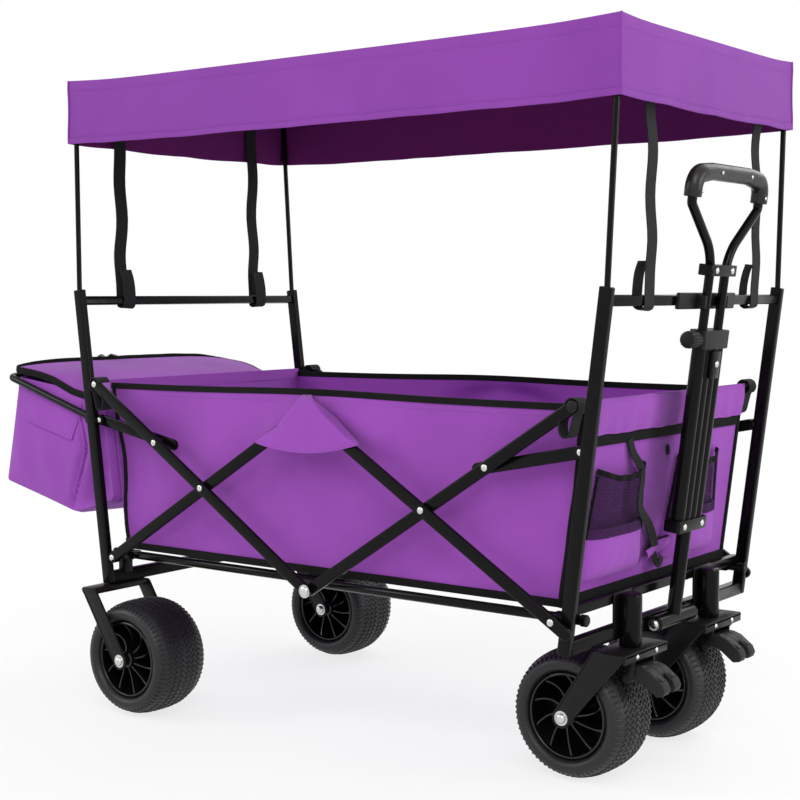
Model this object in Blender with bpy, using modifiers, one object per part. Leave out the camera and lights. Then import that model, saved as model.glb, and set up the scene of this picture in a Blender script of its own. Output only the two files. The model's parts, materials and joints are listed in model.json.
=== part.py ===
"""Folding wagon with a canopy, a telescopic pull handle and a storage bag on its rear.

Metres, +Z up, +X to the front, where the pull handle is. The wheels stand on z = 0, and
the origin lies under the middle of the whole object. The steel frame folds end to end:
each side is a pair of scissors, drawn here open.
"""

import math

import bmesh
import bpy
from mathutils import Matrix, Vector

# Clearances
SEAT_GAP = 0.0003        # between pieces that touch
LAYER_GAP = 0.0006       # between bars that slide past each other
PIN_CLEARANCE = 0.0003   # round a pin, on the radius
BODY_GAP = 0.0005        # between a soft piece and what carries it

# End frames: two leaning posts, a top rail and a lower crossbar each
FRAME_HALF_WIDTH = 0.2575
POST_WIDTH = 0.012
POST_DEPTH = 0.018
POST_FOOT_X = 0.4185
POST_FOOT_Z = 0.196
POST_TOP_X = 0.477
POST_TOP_Z = 0.662
RAIL_Z = 0.6448
RAIL_DEPTH = 0.013
RAIL_HEIGHT = 0.0135
CROSSBAR_HEIGHT = 0.019
CROSSBAR_DEPTH = 0.016
UPPER_CROSSBAR_X = 0.4181
UPPER_CROSSBAR_Z = 0.2503
UPPER_CROSSBAR_SIZE = 0.0125

# Scissors, as seen from the side. Foot is the pivot on the post.
FOOT_X = 0.4060
FOOT_Z = 0.2395
TOP_PIVOT_Z = 0.4922
HUB_Z = 0.2333
UPPER_END_X = 0.4313
UPPER_END_Z = 0.5133
BAR_DEPTH = 0.017
BAR_THICKNESS = 0.008
FOOT_OVERHANG = 0.024    # the front bar runs on past its foot pivot, over the post
PIN_RADIUS = 0.003
RIVET_RADIUS = 0.0046
RIVET_HEIGHT = 0.002
HUB_BOLT_RADIUS = 0.0085
HUB_BOLT_HEIGHT = 0.005
LINK_FROM_CROSSING = 0.1152
LINK_PIVOT_X = 0.4387
LINK_PIVOT_Z = 0.4559
LINK_THICKNESS = 0.006
LINK_OVERHANG = 0.020
BOSS_RADIUS = 0.006
BRACKET_THICKNESS = 0.004
REAR_LUG_THICKNESS = 0.0054

# Floor bars, which fold up in the middle
FLOOR_BAR_RADIUS = 0.0065
FLOOR_BAR_Z = 0.240
FLOOR_HINGE_X = 0.3935
FRONT_FLOOR_BAR_Y = 0.2375
REAR_FLOOR_BAR_Y = 0.223
FLOOR_BAR_PAST_MIDDLE = 0.035
FLOOR_BAR_END = 0.0045   # past its hinge pin
SOCKET_START = 0.0085    # from the same pin
SOCKET_CAP_X = 0.440
SOCKET_CAP_RADIUS = 0.0078
SOCKET_CAP_LENGTH = 0.008
EAR_THICKNESS = 0.002
EAR_CLEARANCE = 0.0004
FLOOR_PIN_RADIUS = 0.0025

# Wheels
WHEEL_RADIUS = 0.0889
WHEEL_WIDTH = 0.1016
TREAD_HALF_WIDTH = 0.010  # level band in the middle of the tread
RIM_RADIUS = 0.0597
RIM_HALF_WIDTH = 0.040
RIM_WALL = 0.0035
HUB_RADIUS = 0.013
HUB_HALF_WIDTH = 0.046
WEB_HALF_THICKNESS = 0.002
SPOKES = 7
WHEEL_STEPS = 24         # facets round a wheel
SPOKE_THICKNESS = 0.004
SPOKE_HALF_WIDTH = 0.028
SPOKE_SWEEP = math.radians(24)
AXLE_RADIUS = 0.005
ARM_SIDE_GAP = 0.0040
ARM_THICKNESS = 0.0037
ARM_END_RADIUS = 0.014
AXLE_NUT_RADIUS = 0.0085
AXLE_NUT_HEIGHT = 0.0075

# Front casters
CASTER_X = 0.437
CASTER_Y = 0.1175
FRONT_AXLE_X = 0.3655
STEM_RADIUS = 0.008
HOUSING_RADIUS = 0.0155
HOUSING_BOTTOM_Z = 0.186
HOUSING_TOP_Z = 0.257
HOUSING_ROOF = 0.007
CROWN_THICKNESS = 0.006
CROWN_BACK = 0.025
CROWN_FRONT = 0.025
CROWN_LIP_DEPTH = 0.004
CROWN_LIP_HEIGHT = 0.013
MOUNT_PLATE_HALF_WIDTH = 0.028
MOUNT_PLATE_THICKNESS = 0.003

# Brake pedal on each caster
PEDAL_PIVOT_X = 0.452
PEDAL_PIVOT_Z = 0.157
PEDAL_HALF_WIDTH = 0.0245
PEDAL_EAR_THICKNESS = 0.003
PEDAL_SLOT_HALF_WIDTH = 0.006
PEDAL_SLOT_DEPTH = 0.016
PEDAL_REACH = 0.0485

# Rear forks, fixed
REAR_AXLE_X = 0.351
REAR_WHEEL_Y = 0.243
REAR_CROWN_OUTER_X = 0.4335
REAR_CROWN_INNER_X = 0.4035
REAR_CROWN_THICKNESS = 0.009

# Pull handle, laid out along its own lean
HANDLE_X = 0.440
HANDLE_Z = 0.204
HANDLE_LEAN = math.radians(7.3)
PIVOT_TUBE_RADIUS = 0.011
PIVOT_TUBE_HALF_LENGTH = 0.053
PIVOT_BOLT_RADIUS = 0.004
HANDLE_EAR_THICKNESS = 0.003
LOWER_TUBE_RADIUS = 0.010
LOWER_CLAMP_START = 0.127
LOWER_CLAMP_HEIGHT = 0.016
LOWER_CLAMP_HALF_WIDTH = 0.043
LOWER_CLAMP_HALF_DEPTH = 0.0125
SLEEVE_END = 0.3787
SLEEVE_LOBES = 4
SLEEVE_LOBE_RADIUS = 0.010
SLEEVE_LOBE_PITCH = 0.017
COLLAR_HEIGHT = 0.025
COLLAR_HALF_WIDTH = 0.0385
COLLAR_HALF_DEPTH = 0.0125
LOCK_BLOCK_HEIGHT = 0.040
LOCK_BLOCK_HALF_WIDTH = 0.012
LOCK_BLOCK_DEPTH = 0.006
KNOB_RADIUS = 0.0115
KNOB_LENGTH = 0.029
KNOB_RIBS = 10
INNER_TUBE_RADIUS = 0.00635
INNER_TUBE_Y = 0.0235
INNER_TUBE_START = 0.165
BORE_CLEARANCE = 0.0004
UPPER_CLAMP_BELOW_SPREAD = 0.0204
UPPER_CLAMP_HALF_HEIGHT = 0.0075
UPPER_CLAMP_HALF_WIDTH = 0.040
UPPER_CLAMP_HALF_DEPTH = 0.0105
LOOP_HALF_WIDTH = 0.102
LOOP_SPREAD_HEIGHT = 0.073
GRIP_TOP = 0.613
GRIP_DROP = 0.035        # from the grip's top to its ends
GRIP_FLAT_HALF_WIDTH = 0.055
GRIP_RADIUS = 0.012
CLIP_HALF_WIDTH = 0.085
CLIP_HEIGHT = 0.022
CLIP_THICKNESS = 0.0065
CLIP_HOOK_DEPTH = 0.020

# Canopy, its rods and straps
CANOPY_HALF_LENGTH = 0.4965
CANOPY_HALF_WIDTH = 0.2605
CANOPY_TOP_Z = 0.9925
CANOPY_DEPTH = 0.1005
CANOPY_WALL = 0.0035
CANOPY_CORNER = 0.010
ROD_RADIUS = 0.004
ROD_FOOT_RADIUS = 0.0055
ROD_FOOT_LENGTH = 0.014
ROD_TOP_X = 0.4885
ROD_TOP_Y = 0.249
STRAP_Y = 0.160
STRAP_WIDTH = 0.025
STRAP_THICKNESS = 0.0018
STRAP_TOP_X = 0.4875
STRAP_BACK_LENGTH = 0.040

# Tub of cloth
TUB_SIDE_CLEARANCE = 0.0152   # between the tub's sides and the links
TUB_WALL = 0.003
TUB_BOTTOM_Z = 0.250
TUB_TOP_Z = 0.514
END_WALL_TOP_Z = 0.518
END_WALL_THICKNESS = 0.003
FRONT_WALL_INSET = 0.025
REAR_WALL_INSET = 0.020
FLAP_PEAK_X = -0.020
FLAP_HALF_TOP = 0.045
FLAP_HALF_BOTTOM = 0.100
FLAP_BOTTOM_Z = 0.432
FLAP_CLEARANCE = 0.0027
FLAP_THICKNESS = 0.0024
POCKET_DEPTH = 0.016
POCKET_WALL = 0.0025
POCKET_BOTTOM = 0.0355   # above the wall's lower edge
POCKET_HEIGHT = 0.150
POCKET_CENTRES = (-0.134, 0.093)
POCKET_HALF_BOTTOM = 0.086
POCKET_HALF_TOP = 0.056

# Storage bag behind the rear posts
BAG_PIVOT_X = 0.463
BAG_PIVOT_Z = 0.4566
BAG_FRAME_Y = 0.2465
BAG_FRAME_RADIUS = 0.0045
BAG_FRAME_END_X = 0.6675
BAG_FRAME_END_Z = 0.518
BAG_FRAME_BEND = 0.014
BAG_HALF_WIDTH = 0.2415
BAG_WALL = 0.004
BAG_EDGE = 0.008
LID_HINGE_X = 0.4415
LID_HINGE_Z = 0.501
LID_OUTER_X = 0.660
LID_OUTER_Z = 0.5275
LID_THICKNESS = 0.012
BAG_OUTER_BOTTOM = (0.683, 0.336)
BAG_CORNER_BOTTOM = (0.515, 0.299)
BAG_INNER_BOTTOM = (0.4195, 0.323)

# Colours, roughness and metallic values
LOOKS = {
    "BlackSteel": ((0.012, 0.012, 0.013), 0.34, 0.0),
    "BlackPlastic": ((0.015, 0.015, 0.016), 0.45, 0.0),
    "BlackRubber": ((0.020, 0.020, 0.021), 0.80, 0.0),
    "PurpleCloth": ((0.270, 0.055, 0.400), 0.85, 0.0),
    "BlackWebbing": ((0.014, 0.014, 0.015), 0.85, 0.0),
}

SIDES = (("Near", -1), ("Far", 1))

# Places that follow from the sizes above
POST_LEAN = math.atan2(POST_TOP_X - POST_FOOT_X, POST_TOP_Z - POST_FOOT_Z)
POST_INNER_Y = FRAME_HALF_WIDTH - POST_WIDTH / 2
POST_OUTER_Y = FRAME_HALF_WIDTH + POST_WIDTH / 2
OUTER_LAYER = (POST_OUTER_Y + SEAT_GAP, POST_OUTER_Y + SEAT_GAP + BAR_THICKNESS)
INNER_LAYER = (OUTER_LAYER[0] - LAYER_GAP - BAR_THICKNESS, OUTER_LAYER[0] - LAYER_GAP)
LINK_LAYER = (POST_INNER_Y - SEAT_GAP - LINK_THICKNESS, POST_INNER_Y - SEAT_GAP)
TUB_HALF_WIDTH = LINK_LAYER[0] - TUB_SIDE_CLEARANCE
BRACKET_LAYER = (POST_INNER_Y + SEAT_GAP, POST_INNER_Y + SEAT_GAP + BRACKET_THICKNESS)
A_SLOPE = (TOP_PIVOT_Z - FOOT_Z) / FOOT_X
B_SLOPE = (UPPER_END_Z - HUB_Z) / UPPER_END_X
CROSSING_X = (FOOT_Z + FOOT_X * A_SLOPE - HUB_Z) / (A_SLOPE + B_SLOPE)
CROSSING_Z = HUB_Z + CROSSING_X * B_SLOPE
B_ANGLE = math.atan(B_SLOPE)
LINK_END_X = CROSSING_X + LINK_FROM_CROSSING * math.cos(B_ANGLE)
LINK_END_Z = CROSSING_Z + LINK_FROM_CROSSING * math.sin(B_ANGLE)
ARM_OFFSET = WHEEL_WIDTH / 2 + ARM_SIDE_GAP
CROWN_TOP_Z = HOUSING_BOTTOM_Z - SEAT_GAP
CROWN_BOTTOM_Z = CROWN_TOP_Z - CROWN_THICKNESS
SLEEVE_START = LOWER_CLAMP_START + LOWER_CLAMP_HEIGHT
GRIP_START = GRIP_TOP - GRIP_DROP
LOOP_SPREAD_START = GRIP_START - LOOP_SPREAD_HEIGHT
UPPER_CLAMP_AT = LOOP_SPREAD_START - UPPER_CLAMP_BELOW_SPREAD
CANOPY_BOTTOM_Z = CANOPY_TOP_Z - CANOPY_DEPTH
HANDLE_REACH = HANDLE_X + GRIP_TOP * math.sin(HANDLE_LEAN) + GRIP_RADIUS
MIDDLE_X = (BAG_OUTER_BOTTOM[0] - HANDLE_REACH) / 2


def clear_scene():
    for old in list(bpy.data.objects):
        bpy.data.objects.remove(old, do_unlink=True)


def new_collection(name):
    made = bpy.data.collections.new(name)
    bpy.context.scene.collection.children.link(made)
    return made


def look(name):
    """The named material, made on first use."""
    found = bpy.data.materials.get(name)
    if found:
        return found
    colour, roughness, metallic = LOOKS[name]
    made = bpy.data.materials.new(name)
    made.use_nodes = True
    shader = made.node_tree.nodes["Principled BSDF"]
    shader.inputs["Base Color"].default_value = (*colour, 1)
    shader.inputs["Roughness"].default_value = roughness
    shader.inputs["Metallic"].default_value = metallic
    return made


def post_x(z):
    """The middle of a post at this height, from the middle of the scissors."""
    return POST_FOOT_X + (z - POST_FOOT_Z) * math.tan(POST_LEAN)


def span(side, low, high):
    """A pair of distances from the centre line, as ordered Y values on one side."""
    return (low, high) if side > 0 else (-high, -low)


def new_object(name, data, place=None):
    made = bpy.data.objects.new(name, data)
    if place is not None:
        made.matrix_world = place
    parts.objects.link(made)
    return made


def meshed(source):
    """The curve object as a welded mesh object in the same place."""
    graph = bpy.context.evaluated_depsgraph_get()
    mesh = bpy.data.meshes.new_from_object(source.evaluated_get(graph))
    shape = bmesh.new()
    shape.from_mesh(mesh)
    bmesh.ops.remove_doubles(shape, verts=shape.verts, dist=1e-5)
    bmesh.ops.recalc_face_normals(shape, faces=shape.faces)
    shape.to_mesh(mesh)
    shape.free()
    name = source.name
    place = source.matrix_world.copy()
    bpy.data.objects.remove(source, do_unlink=True)
    return new_object(name, mesh, place)


def baked(obj):
    """Applies the object's modifiers."""
    graph = bpy.context.evaluated_depsgraph_get()
    mesh = bpy.data.meshes.new_from_object(obj.evaluated_get(graph))
    obj.modifiers.clear()
    obj.data = mesh
    return obj


def boolean(base, tool, operation):
    step = base.modifiers.new(operation.title(), "BOOLEAN")
    step.operation = operation
    step.object = tool
    baked(base)
    bpy.data.objects.remove(tool, do_unlink=True)
    return base


def join(base, *tools):
    for tool in tools:
        boolean(base, tool, "UNION")
    return base


def cut(base, *tools):
    for tool in tools:
        boolean(base, tool, "DIFFERENCE")
    return base


def flat(name, outline, thickness, place):
    """A flat outline in the place's own XY plane, thickened both ways."""
    curve = bpy.data.curves.new(name, "CURVE")
    curve.dimensions = "2D"
    curve.fill_mode = "BOTH"
    curve.extrude = thickness / 2
    spline = curve.splines.new("POLY")
    spline.points.add(len(outline) - 1)
    for point, (x, y) in zip(spline.points, outline):
        point.co = (x, y, 0, 1)
    spline.use_cyclic_u = True
    return meshed(new_object(name, curve, place))


def side_plate(name, outline, y_range, at=(0, 0)):
    """A plate that lies in the XZ plane, its outline given in world X and Z."""
    moved = [(x - at[0], z - at[1]) for x, z in outline]
    middle = (y_range[0] + y_range[1]) / 2
    place = Matrix.Translation((at[0], middle, at[1])) @ Matrix.Rotation(math.pi / 2, 4, "X")
    return flat(name, moved, y_range[1] - y_range[0], place)


def tube(name, points, radius, place=None, resolution=2):
    curve = bpy.data.curves.new(name, "CURVE")
    curve.dimensions = "3D"
    curve.bevel_depth = radius
    curve.bevel_resolution = resolution
    curve.use_fill_caps = True
    spline = curve.splines.new("POLY")
    spline.points.add(len(points) - 1)
    for point, where in zip(spline.points, points):
        point.co = (*where, 1)
    return meshed(new_object(name, curve, place))


def cylinder(name, radius, start, end, sides=16, place=None, end_radius=None):
    start = Vector(start)
    along = Vector(end) - start
    mesh = bpy.data.meshes.new(name)
    shape = bmesh.new()
    bmesh.ops.create_cone(
        shape,
        cap_ends=True,
        segments=sides,
        radius1=radius,
        radius2=radius if end_radius is None else end_radius,
        depth=along.length,
    )
    shape.to_mesh(mesh)
    shape.free()
    turned = along.to_track_quat("Z", "Y").to_matrix().to_4x4()
    local = Matrix.Translation(start + along / 2) @ turned
    return new_object(name, mesh, local if place is None else place @ local)


def block(name, low, high, place=None, edge=0.0):
    """A box between two corners, with rounded edges where edge is given."""
    low = Vector(low)
    high = Vector(high)
    mesh = bpy.data.meshes.new(name)
    shape = bmesh.new()
    bmesh.ops.create_cube(shape, size=1)
    bmesh.ops.scale(shape, vec=high - low, verts=shape.verts)
    shape.to_mesh(mesh)
    shape.free()
    local = Matrix.Translation((low + high) / 2)
    made = new_object(name, mesh, local if place is None else place @ local)
    return rounded(made, edge) if edge else made


def rounded(obj, width, segments=2):
    bevel = obj.modifiers.new("Rounded", "BEVEL")
    bevel.width = width
    bevel.segments = segments
    bevel.limit_method = "ANGLE"
    return baked(obj)


def turned(name, profile, steps, place, closed=False):
    """A profile of (radius, height) points, turned round the place's Z."""
    mesh = bpy.data.meshes.new(name)
    count = len(profile)
    edges = [(i, i + 1) for i in range(count - 1)]
    if closed:
        edges.append((count - 1, 0))
    mesh.from_pydata([(radius, 0, height) for radius, height in profile], edges, [])
    made = new_object(name, mesh, place)
    screw = made.modifiers.new("Turned", "SCREW")
    screw.steps = steps
    screw.render_steps = steps
    screw.use_merge_vertices = True
    screw.merge_threshold = 1e-5
    baked(made)
    shape = bmesh.new()
    shape.from_mesh(made.data)
    bmesh.ops.remove_doubles(shape, verts=shape.verts, dist=1e-5)
    bmesh.ops.recalc_face_normals(shape, faces=shape.faces)
    shape.to_mesh(made.data)
    shape.free()
    return made


def stadium(start, end, half, before=0.0, after=0.0, steps=4):
    """The outline of a flat bar with round ends."""
    start = Vector(start)
    end = Vector(end)
    along = (end - start).normalized()
    start = start - along * before
    end = end + along * after
    angle = math.atan2(along.y, along.x)
    outline = []
    for centre, first in ((end, angle - math.pi / 2), (start, angle + math.pi / 2)):
        for step in range(steps + 1):
            turn = first + math.pi * step / steps
            outline.append(
                (centre.x + half * math.cos(turn), centre.y + half * math.sin(turn))
            )
    return outline


def bent(points, radius, steps=4):
    """The points of a path in space, its corners rounded to one radius."""
    path = [Vector(points[0])]
    for before, corner, after in zip(points, points[1:], points[2:]):
        corner = Vector(corner)
        into = (Vector(before) - corner).normalized()
        out = (Vector(after) - corner).normalized()
        half = into.angle(out) / 2
        reach = radius / math.tan(half)
        centre = corner + (into + out).normalized() * (radius / math.sin(half))
        first = (corner + into * reach - centre).normalized()
        last = (corner + out * reach - centre).normalized()
        for step in range(steps + 1):
            path.append(centre + first.slerp(last, step / steps) * radius)
    path.append(Vector(points[-1]))
    return path


def ribbon(path, thickness):
    """The outline of a strip of even thickness along a flat path."""
    path = [Vector(point) for point in path]
    left = []
    right = []
    for index, point in enumerate(path):
        ahead = path[min(index + 1, len(path) - 1)] - path[max(index - 1, 0)]
        across = Vector((-ahead.y, ahead.x)).normalized() * (thickness / 2)
        left.append(tuple(point + across))
        right.append(tuple(point - across))
    return left + right[::-1]


def finish(obj, look_name, pivot):
    """Gives the piece its look, shades its round faces and hangs it on its body."""
    obj.data.materials.clear()
    obj.data.materials.append(look(look_name))
    obj.data.shade_smooth()
    obj.data.set_sharp_from_angle(angle=math.radians(35))
    place = obj.matrix_world.copy()
    obj.parent = pivot
    obj.matrix_parent_inverse = Matrix()
    obj.matrix_basis = pivots[pivot.name].inverted() @ place
    return obj


def pivot(name, where, parent=None):
    """An empty on the joint's axis of one body."""
    made = bpy.data.objects.new(name, None)
    made.empty_display_size = 0.03
    parts.objects.link(made)
    place = Matrix.Translation(where)
    pivots[made.name] = place
    if parent is not None:
        made.parent = parent
        made.matrix_basis = pivots[parent.name].inverted() @ place
    return made


def pin(base, x, z, side, reach, radius=PIN_RADIUS, from_y=None):
    """Joins a pin to the piece, from inside it to reach, both measured from the centre line."""
    rod = cylinder("Pin", radius, (x, side * from_y, z), (x, side * reach, z), 8)
    return join(base, rod)


def head(base, x, z, side, face, radius=RIVET_RADIUS, height=RIVET_HEIGHT, sunk=0.001):
    """Joins a rivet's head, which stands on a face at this distance from the centre line."""
    dome = cylinder(
        "Head",
        radius,
        (x, side * (face - math.copysign(sunk, height)), z),
        (x, side * (face + height), z),
        8,
        end_radius=radius * 0.72,
    )
    return join(base, dome)


def hole(base, x, z, side, layer, radius):
    past = 0.002
    drill = cylinder(
        "Drill",
        radius,
        (x, side * (layer[0] - past), z),
        (x, side * (layer[1] + past), z),
        8,
    )
    return cut(base, drill)


def make_post(name, end, side, body):
    """A post with the lug of its scissor's foot and the bracket of its link."""
    across = POST_DEPTH / 2 / math.cos(POST_LEAN)
    outline = [
        (end * (POST_FOOT_X - across), POST_FOOT_Z),
        (end * (POST_FOOT_X + across), POST_FOOT_Z),
        (end * (POST_TOP_X + across), POST_TOP_Z),
        (end * (POST_TOP_X - across), POST_TOP_Z),
    ]
    post = side_plate(name, outline, span(side, POST_INNER_Y, POST_OUTER_Y), (end * POST_FOOT_X, 0))
    if end > 0:
        lug_layer = INNER_LAYER
    else:
        lug_layer = (INNER_LAYER[0] - SEAT_GAP - REAR_LUG_THICKNESS, INNER_LAYER[0] - SEAT_GAP)
    foot = (end * FOOT_X, FOOT_Z)
    lug = side_plate(
        "Lug",
        stadium(foot, (end * post_x(FOOT_Z), FOOT_Z), BAR_DEPTH / 2),
        span(side, *lug_layer),
    )
    bracket_outer_x = post_x(LINK_PIVOT_Z) if end > 0 else BAG_PIVOT_X
    bracket = side_plate(
        "Bracket",
        stadium((end * LINK_PIVOT_X, LINK_PIVOT_Z), (end * bracket_outer_x, LINK_PIVOT_Z), BAR_DEPTH / 2),
        span(side, *BRACKET_LAYER),
    )
    join(post, lug, bracket)
    hole(post, *foot, side, lug_layer, PIN_RADIUS + PIN_CLEARANCE)
    inside = (BRACKET_LAYER[0] + BRACKET_LAYER[1]) / 2
    link_pin_end = LINK_LAYER[0] - LAYER_GAP
    x = end * LINK_PIVOT_X
    pin(post, x, LINK_PIVOT_Z, side, link_pin_end - RIVET_HEIGHT / 2, from_y=inside)
    head(post, x, LINK_PIVOT_Z, side, link_pin_end, height=-RIVET_HEIGHT, sunk=0)
    head(post, x, LINK_PIVOT_Z, side, BRACKET_LAYER[1])
    if end < 0:
        bag_pin_end = BAG_FRAME_Y - BAG_FRAME_RADIUS + SEAT_GAP
        pin(post, -BAG_PIVOT_X, BAG_PIVOT_Z, side, bag_pin_end, FLOOR_PIN_RADIUS, inside)
        head(post, -BAG_PIVOT_X, BAG_PIVOT_Z, side, BRACKET_LAYER[1])
    return finish(post, "BlackSteel", body)


def make_rail(name, end, body):
    place = Matrix.Translation((end * post_x(RAIL_Z), 0, RAIL_Z))
    place = place @ Matrix.Rotation(end * POST_LEAN, 4, "Y")
    half = Vector((RAIL_DEPTH / 2, POST_INNER_Y - SEAT_GAP, RAIL_HEIGHT / 2))
    return finish(block(name, -half, half, place), "BlackSteel", body)


def crossbar(name, end):
    middle = post_x(POST_FOOT_Z + CROSSBAR_HEIGHT / 2)
    half_length = POST_INNER_Y - SEAT_GAP
    return block(
        name,
        (end * middle - CROSSBAR_DEPTH / 2, -half_length, POST_FOOT_Z),
        (end * middle + CROSSBAR_DEPTH / 2, half_length, POST_FOOT_Z + CROSSBAR_HEIGHT),
    )


def floor_socket(base, end, side, distance):
    """The fixed end of a floor bar: a capped stub and two ears with the hinge pin."""
    start = FLOOR_HINGE_X + SOCKET_START
    y = side * distance
    stub = cylinder(
        "Stub", FLOOR_BAR_RADIUS, (end * start, y, FLOOR_BAR_Z), (end * SOCKET_CAP_X, y, FLOOR_BAR_Z), 12
    )
    cap = cylinder(
        "Cap",
        SOCKET_CAP_RADIUS,
        (end * (SOCKET_CAP_X - SOCKET_CAP_LENGTH), y, FLOOR_BAR_Z),
        (end * (SOCKET_CAP_X + 0.001), y, FLOOR_BAR_Z),
        12,
    )
    join(base, stub, cap)
    near_face = FLOOR_BAR_RADIUS + EAR_CLEARANCE
    for turn in (-1, 1):
        low, high = sorted((y + turn * near_face, y + turn * (near_face + EAR_THICKNESS)))
        ear = side_plate(
            "Ear",
            stadium(
                (end * FLOOR_HINGE_X, FLOOR_BAR_Z),
                (end * (UPPER_CROSSBAR_X - FLOOR_BAR_RADIUS), FLOOR_BAR_Z),
                FLOOR_BAR_RADIUS,
                steps=4,
            ),
            (low, high),
        )
        join(base, ear)
    reach = near_face + EAR_THICKNESS / 2
    hinge_pin = cylinder(
        "HingePin",
        FLOOR_PIN_RADIUS,
        (end * FLOOR_HINGE_X, y - reach, FLOOR_BAR_Z),
        (end * FLOOR_HINGE_X, y + reach, FLOOR_BAR_Z),
        10,
    )
    return join(base, hinge_pin)


def make_front_crossbars(body):
    lower = crossbar("FrontLowerCrossbar", 1)
    for side_name, side in SIDES:
        y = side * CASTER_Y
        housing = cylinder(
            "Housing", HOUSING_RADIUS, (CASTER_X, y, HOUSING_BOTTOM_Z), (CASTER_X, y, HOUSING_TOP_Z), 16
        )
        plate_x = UPPER_CROSSBAR_X + UPPER_CROSSBAR_SIZE / 2 + SEAT_GAP
        plate = block(
            "MountPlate",
            (plate_x, y - MOUNT_PLATE_HALF_WIDTH, POST_FOOT_Z + 0.002),
            (plate_x + MOUNT_PLATE_THICKNESS, y + MOUNT_PLATE_HALF_WIDTH, HOUSING_TOP_Z + 0.003),
        )
        join(lower, plate, housing)
        bore = cylinder(
            "StemBore",
            STEM_RADIUS + BORE_CLEARANCE,
            (CASTER_X, y, HOUSING_BOTTOM_Z - 0.002),
            (CASTER_X, y, HOUSING_TOP_Z - HOUSING_ROOF),
            12,
        )
        cut(lower, bore)
    bar_front = post_x(POST_FOOT_Z + CROSSBAR_HEIGHT / 2) + CROSSBAR_DEPTH / 2
    ear_start = PIVOT_TUBE_HALF_LENGTH + BODY_GAP
    for side in (-1, 1):
        ear = side_plate(
            "HandleEar",
            stadium((HANDLE_X, HANDLE_Z), (bar_front - 0.006, HANDLE_Z), 0.0105),
            span(side, ear_start, ear_start + HANDLE_EAR_THICKNESS),
        )
        join(lower, ear)
    bolt_end = ear_start + HANDLE_EAR_THICKNESS / 2
    bolt = cylinder(
        "Bolt", PIVOT_BOLT_RADIUS, (HANDLE_X, -bolt_end, HANDLE_Z), (HANDLE_X, bolt_end, HANDLE_Z), 12
    )
    join(lower, bolt)
    for side in (-1, 1):
        head(lower, HANDLE_X, HANDLE_Z, side, ear_start + HANDLE_EAR_THICKNESS, 0.007, 0.005)
    finish(lower, "BlackSteel", body)

    half = UPPER_CROSSBAR_SIZE / 2
    half_length = POST_INNER_Y - SEAT_GAP
    upper = block(
        "FrontUpperCrossbar",
        (UPPER_CROSSBAR_X - half, -half_length, UPPER_CROSSBAR_Z - half),
        (UPPER_CROSSBAR_X + half, half_length, UPPER_CROSSBAR_Z + half),
    )
    for side_name, side in SIDES:
        notch = cylinder(
            "HousingNotch",
            HOUSING_RADIUS + SEAT_GAP,
            (CASTER_X, side * CASTER_Y, UPPER_CROSSBAR_Z - 0.02),
            (CASTER_X, side * CASTER_Y, UPPER_CROSSBAR_Z + 0.02),
            16,
        )
        cut(upper, notch)
        floor_socket(upper, 1, side, FRONT_FLOOR_BAR_Y)
    finish(upper, "BlackSteel", body)


def make_rear_crossbar(body):
    lower = crossbar("RearLowerCrossbar", -1)
    reach = FLOOR_BAR_RADIUS + EAR_CLEARANCE + EAR_THICKNESS
    for side_name, side in SIDES:
        y = side * REAR_FLOOR_BAR_Y
        riser = block(
            "Riser",
            (-UPPER_CROSSBAR_X - 0.006, y - reach, POST_FOOT_Z + CROSSBAR_HEIGHT - 0.004),
            (-UPPER_CROSSBAR_X + 0.008, y + reach, FLOOR_BAR_Z),
        )
        join(lower, riser)
        floor_socket(lower, -1, side, REAR_FLOOR_BAR_Y)
    return finish(lower, "BlackSteel", body)


def make_floor_bar(name, end, side, distance, body):
    y = side * distance
    bar = cylinder(
        name,
        FLOOR_BAR_RADIUS,
        (end * (FLOOR_HINGE_X + FLOOR_BAR_END), y, FLOOR_BAR_Z),
        (-end * FLOOR_BAR_PAST_MIDDLE, y, FLOOR_BAR_Z),
        12,
    )
    layer = (distance - FLOOR_BAR_RADIUS, distance + FLOOR_BAR_RADIUS)
    hole(bar, end * FLOOR_HINGE_X, FLOOR_BAR_Z, side, layer, FLOOR_PIN_RADIUS + PIN_CLEARANCE)
    return finish(bar, "BlackSteel", body)


def make_a_bar(name, end, side, body):
    """The scissor bar from a post's foot pivot up to the top pivot."""
    foot = (end * FOOT_X, FOOT_Z)
    top = (0, TOP_PIVOT_Z)
    layer = OUTER_LAYER if end > 0 else INNER_LAYER
    before = FOOT_OVERHANG if end > 0 else 0.0
    bar = side_plate(name, stadium(foot, top, BAR_DEPTH / 2, before), span(side, *layer), foot)
    inside = (layer[0] + layer[1]) / 2
    if end > 0:
        for x, z in (foot, (CROSSING_X, CROSSING_Z), top):
            pin(bar, x, z, side, INNER_LAYER[0] - SEAT_GAP, from_y=inside)
            head(bar, x, z, side, layer[1])
    else:
        hole(bar, -CROSSING_X, CROSSING_Z, side, layer, PIN_RADIUS + PIN_CLEARANCE)
        hole(bar, *top, side, layer, PIN_RADIUS + PIN_CLEARANCE)
        pin(bar, *foot, side, layer[0] - REAR_LUG_THICKNESS - 2 * SEAT_GAP, from_y=inside)
        head(bar, *foot, side, layer[1])
    return finish(bar, "BlackSteel", body)


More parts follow.
